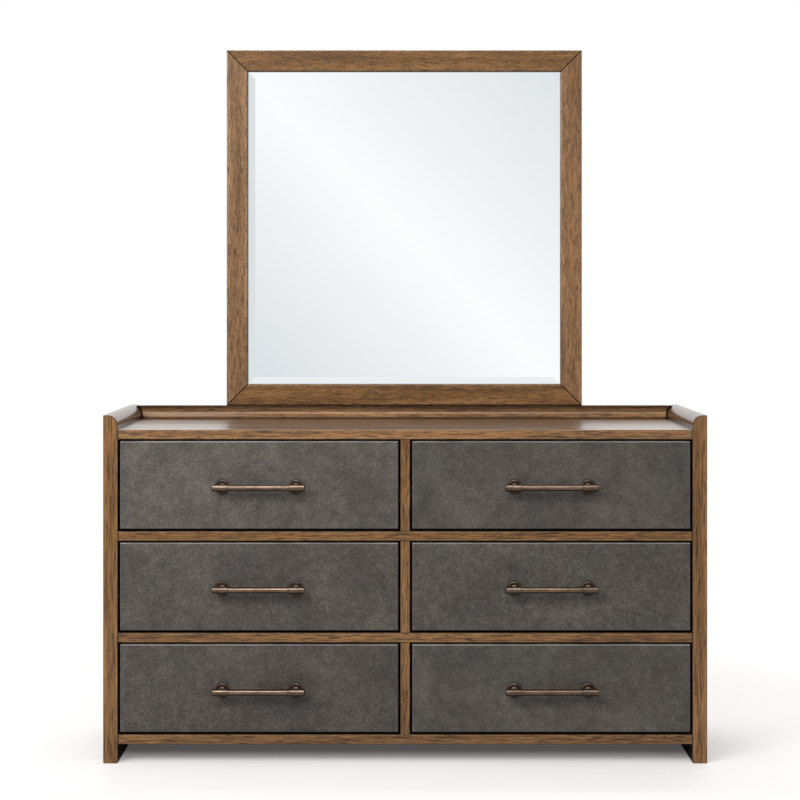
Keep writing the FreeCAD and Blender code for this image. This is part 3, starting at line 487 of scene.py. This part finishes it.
def shade_inside_sides(tree, parts):
    """Painted shade on the inner faces of the sides, below the top."""
    inner = spread(tree, off_centre(tree, parts), *INNER_FACE_BAND)
    under = maths(tree, "LESS_THAN", parts[2], INNER_FACE_TOP)
    return joined(tree, "MULTIPLY", inner, under, shade_inside_rails(tree, parts))


def gallery_light_and_shade(tree, parts):
    """Painted light and shade on the gallery rail, as a factor of its colour.

    Painted shade lies at its foot, in the hollow, along its top edge and at its ends, and painted
    light on its ledge and its face.
    """
    greys = [(place, (*[tone / GALLERY_SCALE] * 3, 1)) for place, tone in GALLERY_TONES]
    zones = ramp(tree, gallery_rise(tree, parts), *greys)
    off_round = from_round(tree, parts)
    ends = spread(tree, off_round, *GALLERY_END_BAND, GALLERY_SCALE, GALLERY_END_TONE)
    return maths(tree, "MULTIPLY", zones, ends)


def gallery_highlight(tree, parts):
    """Painted highlight below the gallery rail's ledge, and painted light at the left of its face.
    """
    rise = gallery_rise(tree, parts)
    line = spread(tree, off_place(tree, rise, LEDGE_PLACE), *LEDGE_BAND, 0.0, LEDGE_SHARE)
    face = maths(tree, "MULTIPLY", spread(tree, rise, *FACE_FOOT), spread(tree, rise, *FACE_TOP))
    left = spread(tree, parts[0], *PALE_END, 0.0, PALE_END_SHARE)
    painted_highlight = maths(tree, "MAXIMUM", line, maths(tree, "MULTIPLY", face, left))
    return maths(tree, "MULTIPLY", painted_highlight, spread(tree, from_round(tree, parts), *HIGHLIGHT_CLEAR))


def on_top(tree, parts):
    """The upper face of the top, which is glossy and painted dark as shade."""
    upper = spread(tree, parts[2], *UPPER_FACE_BAND)
    return maths(tree, "MULTIPLY", upper, behind_case_front(tree, parts, FRONT_DEPTH))


def on_rounds(tree, parts):
    """The rounds on top of the sides, which are glossy and painted dark as shade."""
    inward = spread(tree, off_centre(tree, parts), *ROUND_INWARD)
    above = spread(tree, parts[2], *ROUND_ABOVE)
    return joined(tree, "MULTIPLY", inward, above, behind_case_front(tree, parts, FRONT_DEPTH))


# Wood


def along_grain(tree, parts, grain, seed):
    """Board coordinates: X and Y across the grain and Z along it, at a place of the board's own."""
    order = {"X": (1, 2, 0), "Y": (0, 2, 1), "Z": (0, 1, 2)}[grain]
    inputs = {to: parts[axis] for to, axis in enumerate(order)}
    turned = add(tree, "ShaderNodeCombineXYZ", inputs).outputs[0]
    return stretched(tree, turned, (1, 1, 1), (seed * 0.731, seed * 0.417, seed * 1.93))


def swayed(tree, board, scale, reach):
    """Board coordinates that wander across the grain."""
    drift = noise(tree, stretched(tree, board, scale), 1, 2, output="Color")
    return stretched(tree, drift, (reach, reach, 0), board)


def oak_layers(tree, board, curl):
    """The layers of an oak board's grain by their names."""
    for across, along, curled, reach, wilder in OAK_WAVES:
        scale = (across, across, along + curled * curl)
        board = swayed(tree, board, scale, reach + wilder * curl)
    layers = {}
    for name, (across, along, curled, detail, rough) in OAK_LAYERS.items():
        place = stretched(tree, board, (across, across, along + curled * curl))
        layers[name] = noise(tree, place, 1, detail, rough)
    return layers


def oak_stain(tree, layers, contrast):
    """The colour of stained oak, and its open pores."""
    ground = maths(tree, "MULTIPLY", layers["bands"], BAND_SHARE)
    ground = maths(tree, "MULTIPLY_ADD", layers["fibres"], FIBRE_SHARE, ground)
    colour = ramp(tree, ground, *OAK_GROUND)
    for layer, levels, share, stain in OAK_STAINS:
        stained = spread(tree, layers[layer], *levels, 0.0, share * contrast)
        colour = blend(tree, stained, colour, stain)
    open_pores = spread(tree, layers["pores"], *PIT_PORES)
    pits = maths(tree, "MULTIPLY", open_pores, spread(tree, layers["strands"], *PIT_STRANDS))
    colour = blend(tree, maths(tree, "MULTIPLY", pits, PIT_SHARE), colour, OAK_PORE)
    flecks = spread(tree, layers["pores"], *FLECK_PORES, 0.0, FLECK_SHARE)
    return blend(tree, flecks, colour, OAK_LIGHT), pits


def oak_edges(tree, colour, board, edge):
    """Oak with its edges worn pale and painted shade along its arrises, and where it is worn."""
    rub = noise(tree, stretched(tree, board, RUB_REPEATS), 1, 3, 0.65)
    patches = spread(tree, rub, *RUB_LEVELS, 0.0, RUB_SHARE)
    worn = maths(tree, "MULTIPLY", spread(tree, edge, *RUB_BAND), patches)
    colour = blend(tree, worn, colour, OAK_WORN)
    # Painted shade along the arrises
    return blend(tree, spread(tree, edge, *ARRIS_BAND, 0.0, ARRIS_SHARE), colour, OAK_DARK), worn


def oak(
    name, node, grain, seed, tone, grey=0.0, gloss=0.24, curl=0.0, contrast=1.0, lacquer=0.0,
    streak=0.0, joint=None, inside=None, shade=None, painted_highlight=None, polished_and_shaded=None,
):
    """Stained, satin-lacquered oak: bands, wavy strands, open pores, worn edges, painted shade
    along the arrises, and dark joints.

    Optional functions each give a zone of the board: dark joints with painted shade, painted shade
    inside the case, painted light and shade, a painted highlight, and glossy faces painted in
    shade.
    """
    material, tree, shader, point = new_material(name)
    parts = parts_of(tree, point)
    board = along_grain(tree, parts, grain, seed)
    layers = oak_layers(tree, board, curl)
    strands = layers["strands"]
    colour, pits = oak_stain(tree, layers, contrast)
    colour, worn = oak_edges(tree, colour, board, from_edge(tree, parts, node))
    colour = toned(tree, colour, tone, 1 - grey)
    # Painted light and shade: the colour is scaled by a zone's tone
    if shade:
        inputs = {0: colour, "Scale": shade(tree, parts)}
        colour = add(tree, "ShaderNodeVectorMath", inputs, operation="SCALE").outputs[0]
    # A painted highlight
    if painted_highlight:
        colour = blend(tree, painted_highlight(tree, parts), colour, OAK_HIGHLIGHT)
    dull = spread(tree, strands, *MIDDLE_LEVELS, gloss + STRAND_GLOSS, gloss - STRAND_GLOSS)
    dull = maths(tree, "MULTIPLY_ADD", pits, PIT_DULL, dull)
    dull = maths(tree, "MULTIPLY_ADD", worn, WORN_DULL, dull)
    relief = OAK_RELIEF
    # Glossy, smooth upper faces, whose colour is painted dark as shade
    if polished_and_shaded:
        smooth = polished_and_shaded(tree, parts)
        share = maths(tree, "MULTIPLY", smooth, UPPER_SHADE_SHARE)
        colour = blend(tree, share, colour, PAINTED_SHADE_OAK)
        streaks = spread(tree, layers["bands"], *STREAK_LEVELS, gloss + streak, gloss - streak)
        dull = between(tree, smooth, dull, streaks)
        relief = maths(tree, "MULTIPLY_ADD", smooth, -OAK_RELIEF, OAK_RELIEF)
    # Dark joints, and painted shade and shadow lines
    if joint:
        colour = blend(tree, joint(tree, parts), colour, JOINT_AND_SHADE_DARK)
    # Painted shade inside the case
    if inside:
        colour = blend(tree, inside(tree, parts), colour, INSIDE_SHADE)
    feed(tree, shader.inputs["Base Color"], colour)
    feed(tree, shader.inputs["Roughness"], dull)
    shader.inputs["Specular IOR Level"].default_value = OAK_SPECULAR
    shader.inputs["Coat Weight"].default_value = lacquer
    shader.inputs["Coat Roughness"].default_value = COAT_ROUGHNESS
    height = maths(tree, "MULTIPLY", strands, STRAND_HEIGHT)
    height = maths(tree, "MULTIPLY_ADD", pits, -1, height)
    feed(tree, shader.inputs["Normal"], bump(tree, height, relief, OAK_DEPTH))
    return material


def pale_grain(tree, board, colours, contrast=1.0):
    """Colour and strands of unstained, close-grained wood."""
    bands = noise(tree, stretched(tree, board, PALE_BANDS), 1, 4, 0.6, 0.4)
    strands = noise(tree, stretched(tree, board, PALE_STRANDS), 1, 3, 0.6)
    level = maths(tree, "MULTIPLY", strands, PALE_STRAND_SHARE)
    level = maths(tree, "MULTIPLY_ADD", bands, PALE_BAND_SHARE, level)
    dark, light = colours
    half = PALE_HALF / contrast
    return ramp(tree, level, (0.5 - half, dark), (0.5 + half, light)), strands


def pale_wood(name, grain, seed, colours, contrast=1.0):
    """Unstained close-grained wood for the parts inside and behind."""
    material, tree, shader, point = new_material(name)
    board = along_grain(tree, parts_of(tree, point), grain, seed)
    colour, strands = pale_grain(tree, board, colours, contrast)
    feed(tree, shader.inputs["Base Color"], colour)
    dull = spread(tree, strands, *MIDDLE_LEVELS, *PALE_ROUGHNESS)
    feed(tree, shader.inputs["Roughness"], dull)
    feed(tree, shader.inputs["Normal"], bump(tree, strands, PALE_RELIEF, PALE_DEPTH))
    return material


def tail_share(tree, parts, node):
    """1 on the boards that run front to back, dovetails included, and 0 on those across."""
    low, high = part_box(node)
    side, end, _ = from_faces(tree, parts, node)
    in_side = maths(tree, "LESS_THAN", side, BOX_BOARD)
    in_end = maths(tree, "LESS_THAN", end, BOX_BOARD)
    pitch = (high.z - low.z) / TAIL_COUNT
    rise = maths(tree, "SUBTRACT", parts[2], low.z)
    cell = maths(tree, "FRACT", maths(tree, "DIVIDE", rise, pitch))
    off_middle = off_place(tree, cell, 0.5)
    deep = maths(tree, "DIVIDE", end, BOX_BOARD)
    narrowing = (TAIL_NARROW_SHARE - TAIL_WIDE_SHARE) / 2
    half = maths(tree, "MULTIPLY_ADD", deep, narrowing, TAIL_WIDE_SHARE / 2)
    is_tail = maths(tree, "LESS_THAN", off_middle, half)
    clear_of_end = maths(tree, "SUBTRACT", 1, in_end)
    return maths(tree, "MULTIPLY", in_side, maths(tree, "MAXIMUM", clear_of_end, is_tail))


def dovetailed_birch(name, node, seed):
    """The four boards of a drawer box, each with its own grain, and end grain on pins and tails."""
    material, tree, shader, point = new_material(name)
    parts = parts_of(tree, point)
    facing = facing_of(tree)
    looks = []
    for grain, axis, offset in (("X", 0, 0), ("Y", 1, 0.5)):
        board = along_grain(tree, parts, grain, seed + offset)
        colour, strands = pale_grain(tree, board, BIRCH)
        rings, _ = pale_grain(tree, board, BIRCH_END)
        is_end = maths(tree, "GREATER_THAN", maths(tree, "ABSOLUTE", facing[axis]), END_FACING)
        looks.append((blend(tree, is_end, colour, rings), strands))
    (across, across_strands), (along, along_strands) = looks
    side = tail_share(tree, parts, node)
    rub = noise(tree, stretched(tree, point, BIRCH_RUB, (seed, 0, 0)), 1, 2)
    patches = spread(tree, rub, *MIDDLE_LEVELS, *BIRCH_RUB_SHARES)
    at_edge = spread(tree, from_edge(tree, parts, node), *BIRCH_RUB_BAND)
    worn = maths(tree, "MULTIPLY", at_edge, patches)
    colour = blend(tree, worn, blend(tree, side, across, along), BIRCH_WORN)
    feed(tree, shader.inputs["Base Color"], colour)
    strands = between(tree, side, across_strands, along_strands)
    dull = spread(tree, strands, *MIDDLE_LEVELS, *BIRCH_ROUGHNESS)
    feed(tree, shader.inputs["Roughness"], dull)
    feed(tree, shader.inputs["Normal"], bump(tree, strands, BIRCH_RELIEF, PALE_DEPTH))
    return material


# Leather, metal and glass


def hide_layers(tree, place):
    """The layers of a hide's grain by their names, and the tone that they make together."""
    layers, level = {}, 0.0
    for name, (repeats, detail, rough, distortion, share) in HIDE_LAYERS.items():
        layers[name] = noise(tree, place, repeats, detail, rough, distortion)
        level = maths(tree, "MULTIPLY_ADD", layers[name], share, level)
    return layers, level


def hide_wear_and_highlight(tree, parts, node, place):
    """A drawer front's pale edges: wear all round, and a painted highlight along its top."""
    rim = spread(tree, from_edge(tree, parts, node), *RIM_BAND, 0.0, RIM_SHARE)
    from_top = maths(tree, "SUBTRACT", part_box(node)[1].z, parts[2])
    crest = spread(tree, from_top, *CREST_BAND, 0.0, CREST_SHARE)
    patchy = spread(tree, noise(tree, place, PATCH_REPEATS, 2), *PATCH_LEVELS, *PATCH_SHARES)
    return maths(tree, "MULTIPLY", maths(tree, "MAXIMUM", rim, crest), patchy)


def hide_painted_shade(tree, parts, node, handle):
    """Painted shade on a drawer front: along its foot and sides, and in rings round the rosettes.
    """
    from_foot = maths(tree, "SUBTRACT", parts[2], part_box(node)[0].z)
    from_side, _, _ = from_faces(tree, parts, node)
    foot, sides = spread(tree, from_foot, *SHADE_FOOT), spread(tree, from_side, *SHADE_SIDE)
    off_bay = off_place(tree, off_centre(tree, parts), BAY_CENTRE)
    along = off_place(tree, off_bay, ROSETTE_PLACE)
    up = maths(tree, "SUBTRACT", parts[2], (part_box(handle)[0].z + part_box(handle)[1].z) / 2)
    ring = spread(tree, length_of(tree, along, up), *RING_BAND, 0.0, RING_SHARE)
    return maths(tree, "MULTIPLY", joined(tree, "MAXIMUM", foot, sides, ring), SHADE_SHARE)


def leather(name, node, handle, seed, tone):
    """Charcoal leather: pebble, clouds, flecks, worn edges, a painted highlight and painted shade.
    """
    material, tree, shader, point = new_material(name)
    parts = parts_of(tree, point)
    place = stretched(tree, point, (1, 1, 1), (seed * 0.913, seed * 0.577, seed * 1.31))
    layers, level = hide_layers(tree, place)
    grey, brown = [
        ramp(tree, level, *zip(HIDE_LEVELS, colours)) for colours in (HIDE_GREYS, HIDE_BROWNS)
    ]
    warmth = spread(tree, noise(tree, place, WARM_REPEATS, 2), *WARM_LEVELS, *WARM_SHARES)
    colour = blend(tree, warmth, grey, brown)
    flecks = spread(tree, layers["fine"], *FINE_LEVELS, 0.0, FINE_SHARE)
    colour = blend(tree, flecks, colour, HIDE_FLECK)
    # Pale edges: wear, and a painted highlight along the top
    colour = blend(tree, hide_wear_and_highlight(tree, parts, node, place), colour, HIDE_WEAR_AND_HIGHLIGHT)
    # Painted shade along the foot and sides, and round the rosettes
    colour = blend(tree, hide_painted_shade(tree, parts, node, handle), colour, HIDE_SHADE)
    feed(tree, shader.inputs["Base Color"], toned(tree, colour, tone))
    dull = spread(tree, layers["mottle"], *MIDDLE_LEVELS, *HIDE_ROUGHNESS)
    feed(tree, shader.inputs["Roughness"], dull)
    shader.inputs["Specular IOR Level"].default_value = HIDE_SPECULAR
    inputs = {"Vector": place, "Scale": PEBBLE_REPEATS, "Smoothness": PEBBLE_SMOOTHNESS}
    cells = add(tree, "ShaderNodeTexVoronoi", inputs, feature="SMOOTH_F1").outputs["Distance"]
    pebble = maths(tree, "MULTIPLY", cells, PEBBLE_HEIGHT)
    height = maths(tree, "MULTIPLY_ADD", layers["speckle"], SPECKLE_HEIGHT, pebble)
    feed(tree, shader.inputs["Normal"], bump(tree, height, HIDE_RELIEF, HIDE_DEPTH))
    return material


def bronze(name):
    """Rubbed bronze: bright where hands rub the bar, and painted shade on its outline and behind
    it.
    """
    material, tree, shader, point = new_material(name)
    parts = parts_of(tree, point)
    wear = noise(tree, stretched(tree, point, BRONZE_WEAR), 1, 2, 0.5)
    out = maths(tree, "SUBTRACT", CASE_FRONT, parts[1])
    along = off_place(tree, off_centre(tree, parts), BAY_CENTRE)
    up = facing_of(tree)[2]
    belly = spread(tree, up, *BELLY_FACING, 0.0, BELLY_SHARE)
    off_sleeve = off_place(tree, along, SLEEVE_END)
    # Painted shade: behind the bar, at and on the sleeves, at the tips, and on its top and
    # underside
    dark = joined(
        tree, "MAXIMUM",
        spread(tree, out, *BEHIND_BAR, 0.0, BEHIND_SHARE),
        spread(tree, off_sleeve, *SLEEVE_LINE, 0.0, SLEEVE_LINE_SHARE),
        spread(tree, along, *SLEEVE_BAND, 0.0, SLEEVE_SHARE),
        spread(tree, along, *TIP_BAND, 0.0, TIP_SHARE),
        spread(tree, up, *CROWN_FACING, 0.0, CROWN_SHARE),
        maths(tree, "MULTIPLY", belly, spread(tree, out, *BELLY_DEPTH)),
    )
    colour = blend(tree, dark, ramp(tree, wear, *BRONZE_STOPS), BRONZE_SHADE)
    feed(tree, shader.inputs["Base Color"], colour)
    shader.inputs["Metallic"].default_value = 1
    feed(tree, shader.inputs["Roughness"], spread(tree, wear, *MIDDLE_LEVELS, *BRONZE_ROUGHNESS))
    brushed = noise(tree, stretched(tree, point, BRONZE_BRUSH), 1, 1)
    feed(tree, shader.inputs["Normal"], bump(tree, brushed, BRONZE_RELIEF, METAL_DEPTH))
    return material


def black_steel(name):
    """Black-coated steel with faint roll lines along the slides and worn spots."""
    material, tree, shader, point = new_material(name)
    lines = noise(tree, stretched(tree, point, STEEL_LINES), 1, 2)
    bloom = noise(tree, point, STEEL_BLOOM, 3, 0.6)
    level = maths(tree, "MULTIPLY", bloom, BLOOM_SHARE)
    level = maths(tree, "MULTIPLY_ADD", lines, LINE_SHARE, level)
    feed(tree, shader.inputs["Base Color"], ramp(tree, level, *STEEL_STOPS))
    shader.inputs["Metallic"].default_value = STEEL_METALLIC
    feed(tree, shader.inputs["Roughness"], spread(tree, level, *MIDDLE_LEVELS, *STEEL_ROUGHNESS))
    feed(tree, shader.inputs["Normal"], bump(tree, lines, STEEL_RELIEF, METAL_DEPTH))
    return material


def silvered_glass(name):
    """Mirror glass, faintly clouded, with a cool tint along its ground outer edge."""
    material, tree, shader, point = new_material(name)
    x, _, z = from_faces(tree, parts_of(tree, point), "mirror_glass")
    rim = spread(tree, maths(tree, "MINIMUM", x, z), *SILVER_RIM_BAND)
    silver = ramp(tree, noise(tree, point, HAZE_REPEATS, 2), *SILVER_STOPS)
    feed(tree, shader.inputs["Base Color"], blend(tree, rim, silver, SILVER_RIM))
    shader.inputs["Metallic"].default_value = 1
    shader.inputs["Roughness"].default_value = 0
    return material


# Dressing the CAD nodes


def dress(material, *nodes):
    for node in nodes:
        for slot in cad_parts[node].material_slots:
            slot.link = "OBJECT"
            slot.material = material


def dress_case():
    sides = {
        "gloss": 0.25, "curl": -0.3, "contrast": 0.85, "joint": round_shade_lines,
        "inside": shade_inside_sides, "polished_and_shaded": on_rounds,
    }
    top = {
        "gloss": 0.30, "lacquer": 0.6, "streak": 0.05, "joint": end_joint, "inside": shade_under_top,
        "polished_and_shaded": on_top,
    }
    rails = {"joint": end_joint, "inside": shade_inside_rails}
    stile = {"joint": stile_joint, "inside": shade_inside_rails}
    gallery = {"grey": 0.06, "contrast": 0.8, "shade": gallery_light_and_shade, "painted_highlight": gallery_highlight}
    bars = {"curl": 0.6, "contrast": 0.62, "joint": mitre_joint}
    foot = {"curl": 0.6, "contrast": 0.66, "joint": foot_joints_and_shadow}
    # Each board has a name for its wood, its node, the way of its grain, a tone and a look
    boards = (
        ("oak_left_side", "left_side_panel", "Z", 0.93, sides),
        ("oak_right_side", "right_side_panel", "Z", 0.94, sides),
        ("oak_top", "top_panel", "X", 1.18, top),
        ("oak_bottom", "bottom_panel", "X", 0.98, rails),
        ("oak_upper_rail", "upper_front_rail", "X", 0.95, rails),
        ("oak_lower_rail", "lower_front_rail", "X", 0.92, rails),
        ("oak_partition", "centre_partition", "Z", 0.90, stile),
        ("oak_gallery", "gallery_rail", "X", 1.05, gallery),
        ("oak_mirror_top", "mirror_top_bar", "X", 0.80, bars),
        ("oak_mirror_bottom", "mirror_bottom_bar", "X", 0.90, foot),
        ("oak_mirror_left", "mirror_left_bar", "Z", 1.08, {"grey": 0.10, **bars}),
        ("oak_mirror_right", "mirror_right_bar", "Z", 1.08, {"grey": 0.08, **bars}),
    )
    for seed, (name, node, grain, tone, look) in enumerate(boards, 1):
        dress(oak(name, node, grain, seed, tone, **look), node)
    dress(silvered_glass("silvered_glass"), "mirror_glass")


def dress_hidden():
    board = pale_wood("stained_board", "X", 21, STAINED_BOARD)
    dress(board, "back_panel", "mirror_backing_board")
    support = pale_wood("support_wood", "Z", 22, BIRCH)
    dress(support, "left_mirror_support", "right_mirror_support")
    dress(pale_wood("strip_wood", "X", 23, BIRCH), "mirror_retaining_strips")
    bottom = pale_wood("box_bottom", "X", 25, BIRCH, contrast=0.7)
    dress(bottom, *[f"{drawer}_bottom" for drawer in DRAWERS])
    for seed, drawer in enumerate(DRAWERS, 31):
        dress(dovetailed_birch(f"birch_{drawer}", f"{drawer}_box", seed), f"{drawer}_box")
    members = [f"{drawer}_slide_{kind}" for drawer in DRAWERS for kind in ("middle", "inner")]
    steel = black_steel("black_steel")
    dress(steel, "slide_cabinet_members", "mirror_support_screws", *members)


def dress_drawers():
    metal = bronze("rubbed_bronze")
    # Each drawer's tone holds painted light and shade
    for seed, (drawer, tone) in enumerate(zip(DRAWERS, HIDE_PAINTED_LIGHT), 1):
        front, handle = f"{drawer}_front", f"{drawer}_handle"
        dress(leather(f"leather_{drawer}", front, handle, seed, tone), front)
        dress(metal, handle)


# Stage


def sheet(name, size, place, turn=(0, 0, 0)):
    """A flat square that stands outside the object."""
    mesh = bpy.data.meshes.new(name)
    half = size / 2
    corners = [(-half, -half, 0), (half, -half, 0), (half, half, 0), (-half, half, 0)]
    mesh.from_pydata(corners, [], [(0, 1, 2, 3)])
    made = bpy.data.objects.new(name, mesh)
    made.location = place
    made.rotation_euler = turn
    bpy.context.scene.collection.objects.link(made)
    return made


def rays_of(tree):
    return tree.nodes.new("ShaderNodeLightPath").outputs


def seen_share(tree):
    """1 for rays that show a surface to the camera, also by reflection, and 0 for other rays."""
    rays = rays_of(tree)
    kinds = ("Is Camera Ray", "Is Glossy Ray", "Is Transmission Ray")
    return joined(tree, "MAXIMUM", *[rays[kind] for kind in kinds])


def mirrored_share(tree):
    """1 for rays from the camera that the mirror has turned back, and 0 for all others."""
    rays = rays_of(tree)
    is_first = maths(tree, "LESS_THAN", rays["Glossy Depth"], FIRST_REFLECTION)
    return maths(tree, "MULTIPLY", rays["Is Singular Ray"], is_first)


def floor_lift(tree, point):
    """The share of plain white in the floor: little under the object, and all of it far away."""
    parts = parts_of(tree, point)
    rear = spread(tree, parts[1], *BESIDE_DEPTHS, *BESIDE_WHITE)
    beside = spread(tree, off_centre(tree, parts), *BESIDE_BAND, UNDER_WHITE, rear)
    before = spread(tree, parts[1], *BEFORE_DEPTHS, *BEFORE_WHITE)
    fringe = spread(tree, parts[1], *FRINGE_DEPTHS, *FRINGE_WHITE)
    away = add(tree, "ShaderNodeVectorMath", {0: point}, operation="LENGTH").outputs["Value"]
    return joined(tree, "MAXIMUM", beside, before, fringe, spread(tree, away, *FAR_BAND))


def floor_paint():
    """White floor that keeps its shadow near the object and runs out into the background."""
    material, tree, shader, point = new_material("floor_paint")
    mirrored = mirrored_share(tree)
    seen = maths(tree, "MAXIMUM", rays_of(tree)["Is Camera Ray"], mirrored)
    feed(tree, shader.inputs["Base Color"], blend(tree, seen, FLOOR_BOUNCE, FLOOR_SEEN))
    shader.inputs["Roughness"].default_value = FLOOR_ROUGHNESS
    shader.inputs["Specular IOR Level"].default_value = FLOOR_SPECULAR
    lift = floor_lift(tree, point)
    colour = blend(tree, lift, FLOOR_SHADE, WHITE)
    strength = maths(tree, "MULTIPLY_ADD", mirrored, FLOOR_IN_MIRROR - 1, 1)
    white = add(tree, "ShaderNodeEmission", {"Color": colour, "Strength": strength}).outputs[0]
    inputs = {0: maths(tree, "MULTIPLY", lift, seen), 1: shader.outputs[0], 2: white}
    mixed = add(tree, "ShaderNodeMixShader", inputs).outputs[0]
    feed(tree, tree.nodes["Material Output"].inputs["Surface"], mixed)
    return material


def card_paint():
    """The soft diagonal glow of a studio wall, seen in the mirror and in nothing else."""
    material, tree, _, point = new_material("card_paint")
    parts = parts_of(tree, point)
    across, up = [
        maths(tree, "MAXIMUM", maths(tree, "MINIMUM", part, CARD_REACH), -CARD_REACH)
        for part in parts[:2]
    ]
    aside = maths(tree, "ADD", across, up)
    off_band = maths(tree, "MAXIMUM", aside, maths(tree, "MULTIPLY", aside, GLOW_SKEW))
    band = ramp(tree, maths(tree, "MULTIPLY", off_band, GLOW_SCALE), *GLOW_STOPS)
    colour = blend(tree, spread(tree, parts[0], *CARD_LEFT_BAND), band, CARD_LEFT)
    glow = add(tree, "ShaderNodeEmission", {"Color": colour, "Strength": 1.0}).outputs[0]
    unseen = tree.nodes.new("ShaderNodeBsdfTransparent").outputs[0]
    inputs = {0: mirrored_share(tree), 1: unseen, 2: glow}
    mixed = add(tree, "ShaderNodeMixShader", inputs).outputs[0]
    feed(tree, tree.nodes["Material Output"].inputs["Surface"], mixed)
    return material


def build_stage():
    floor = sheet("floor", FLOOR_SIZE, (0, 0, 0))
    floor.data.materials.append(floor_paint())
    card = sheet("card", CARD_SIZE, CARD_PLACE, UPRIGHT)
    card.data.materials.append(card_paint())
    card.visible_camera = False
    card.visible_diffuse = False
    card.visible_shadow = False


def build_world():
    """White to the camera. In gloss it is bright behind the object and dark before it.

    In the mirror it is light before the object too.
    """
    world = bpy.data.worlds.new("studio")
    bpy.context.scene.world = world
    world.use_nodes = True
    tree = world.node_tree
    way = parts_of(tree, tree.nodes.new("ShaderNodeTexCoord").outputs["Generated"])
    dark = spread(tree, way[0], *STUDIO_TURN, *STUDIO_DARK)
    before = between(tree, mirrored_share(tree), dark, STUDIO_LIGHT)
    reflected = spread(tree, way[1], *BACKDROP_TURN, before, BACKDROP_GLOW)
    shown = between(tree, rays_of(tree)["Is Camera Ray"], reflected, 1.0)
    back = tree.nodes["Background"]
    back.inputs["Color"].default_value = WHITE
    feed(tree, back.inputs["Strength"], between(tree, seen_share(tree), AMBIENT, shown))


def build_lamps():
    for name, place, aim, size, power in LAMPS:
        data = bpy.data.lights.new(name, "AREA")
        data.shape = "RECTANGLE"
        data.size, data.size_y = size
        data.energy = power
        made = bpy.data.objects.new(name, data)
        made.location = place
        made.rotation_euler = (Vector(aim) - Vector(place)).to_track_quat("-Z", "Y").to_euler()
        made.visible_camera = False
        bpy.context.scene.collection.objects.link(made)


def build_camera():
    data = bpy.data.cameras.new("camera")
    data.lens = CAMERA_LENS
    data.shift_x, data.shift_y = CAMERA_SHIFT
    made = bpy.data.objects.new("camera", data)
    made.location = CAMERA_PLACE
    made.rotation_euler = UPRIGHT
    bpy.context.scene.collection.objects.link(made)
    bpy.context.scene.camera = made


build_camera()
build_world()
build_stage()
build_lamps()
dress_case()
dress_hidden()
dress_drawers()
bpy.context.scene.view_settings.view_transform = "Standard"
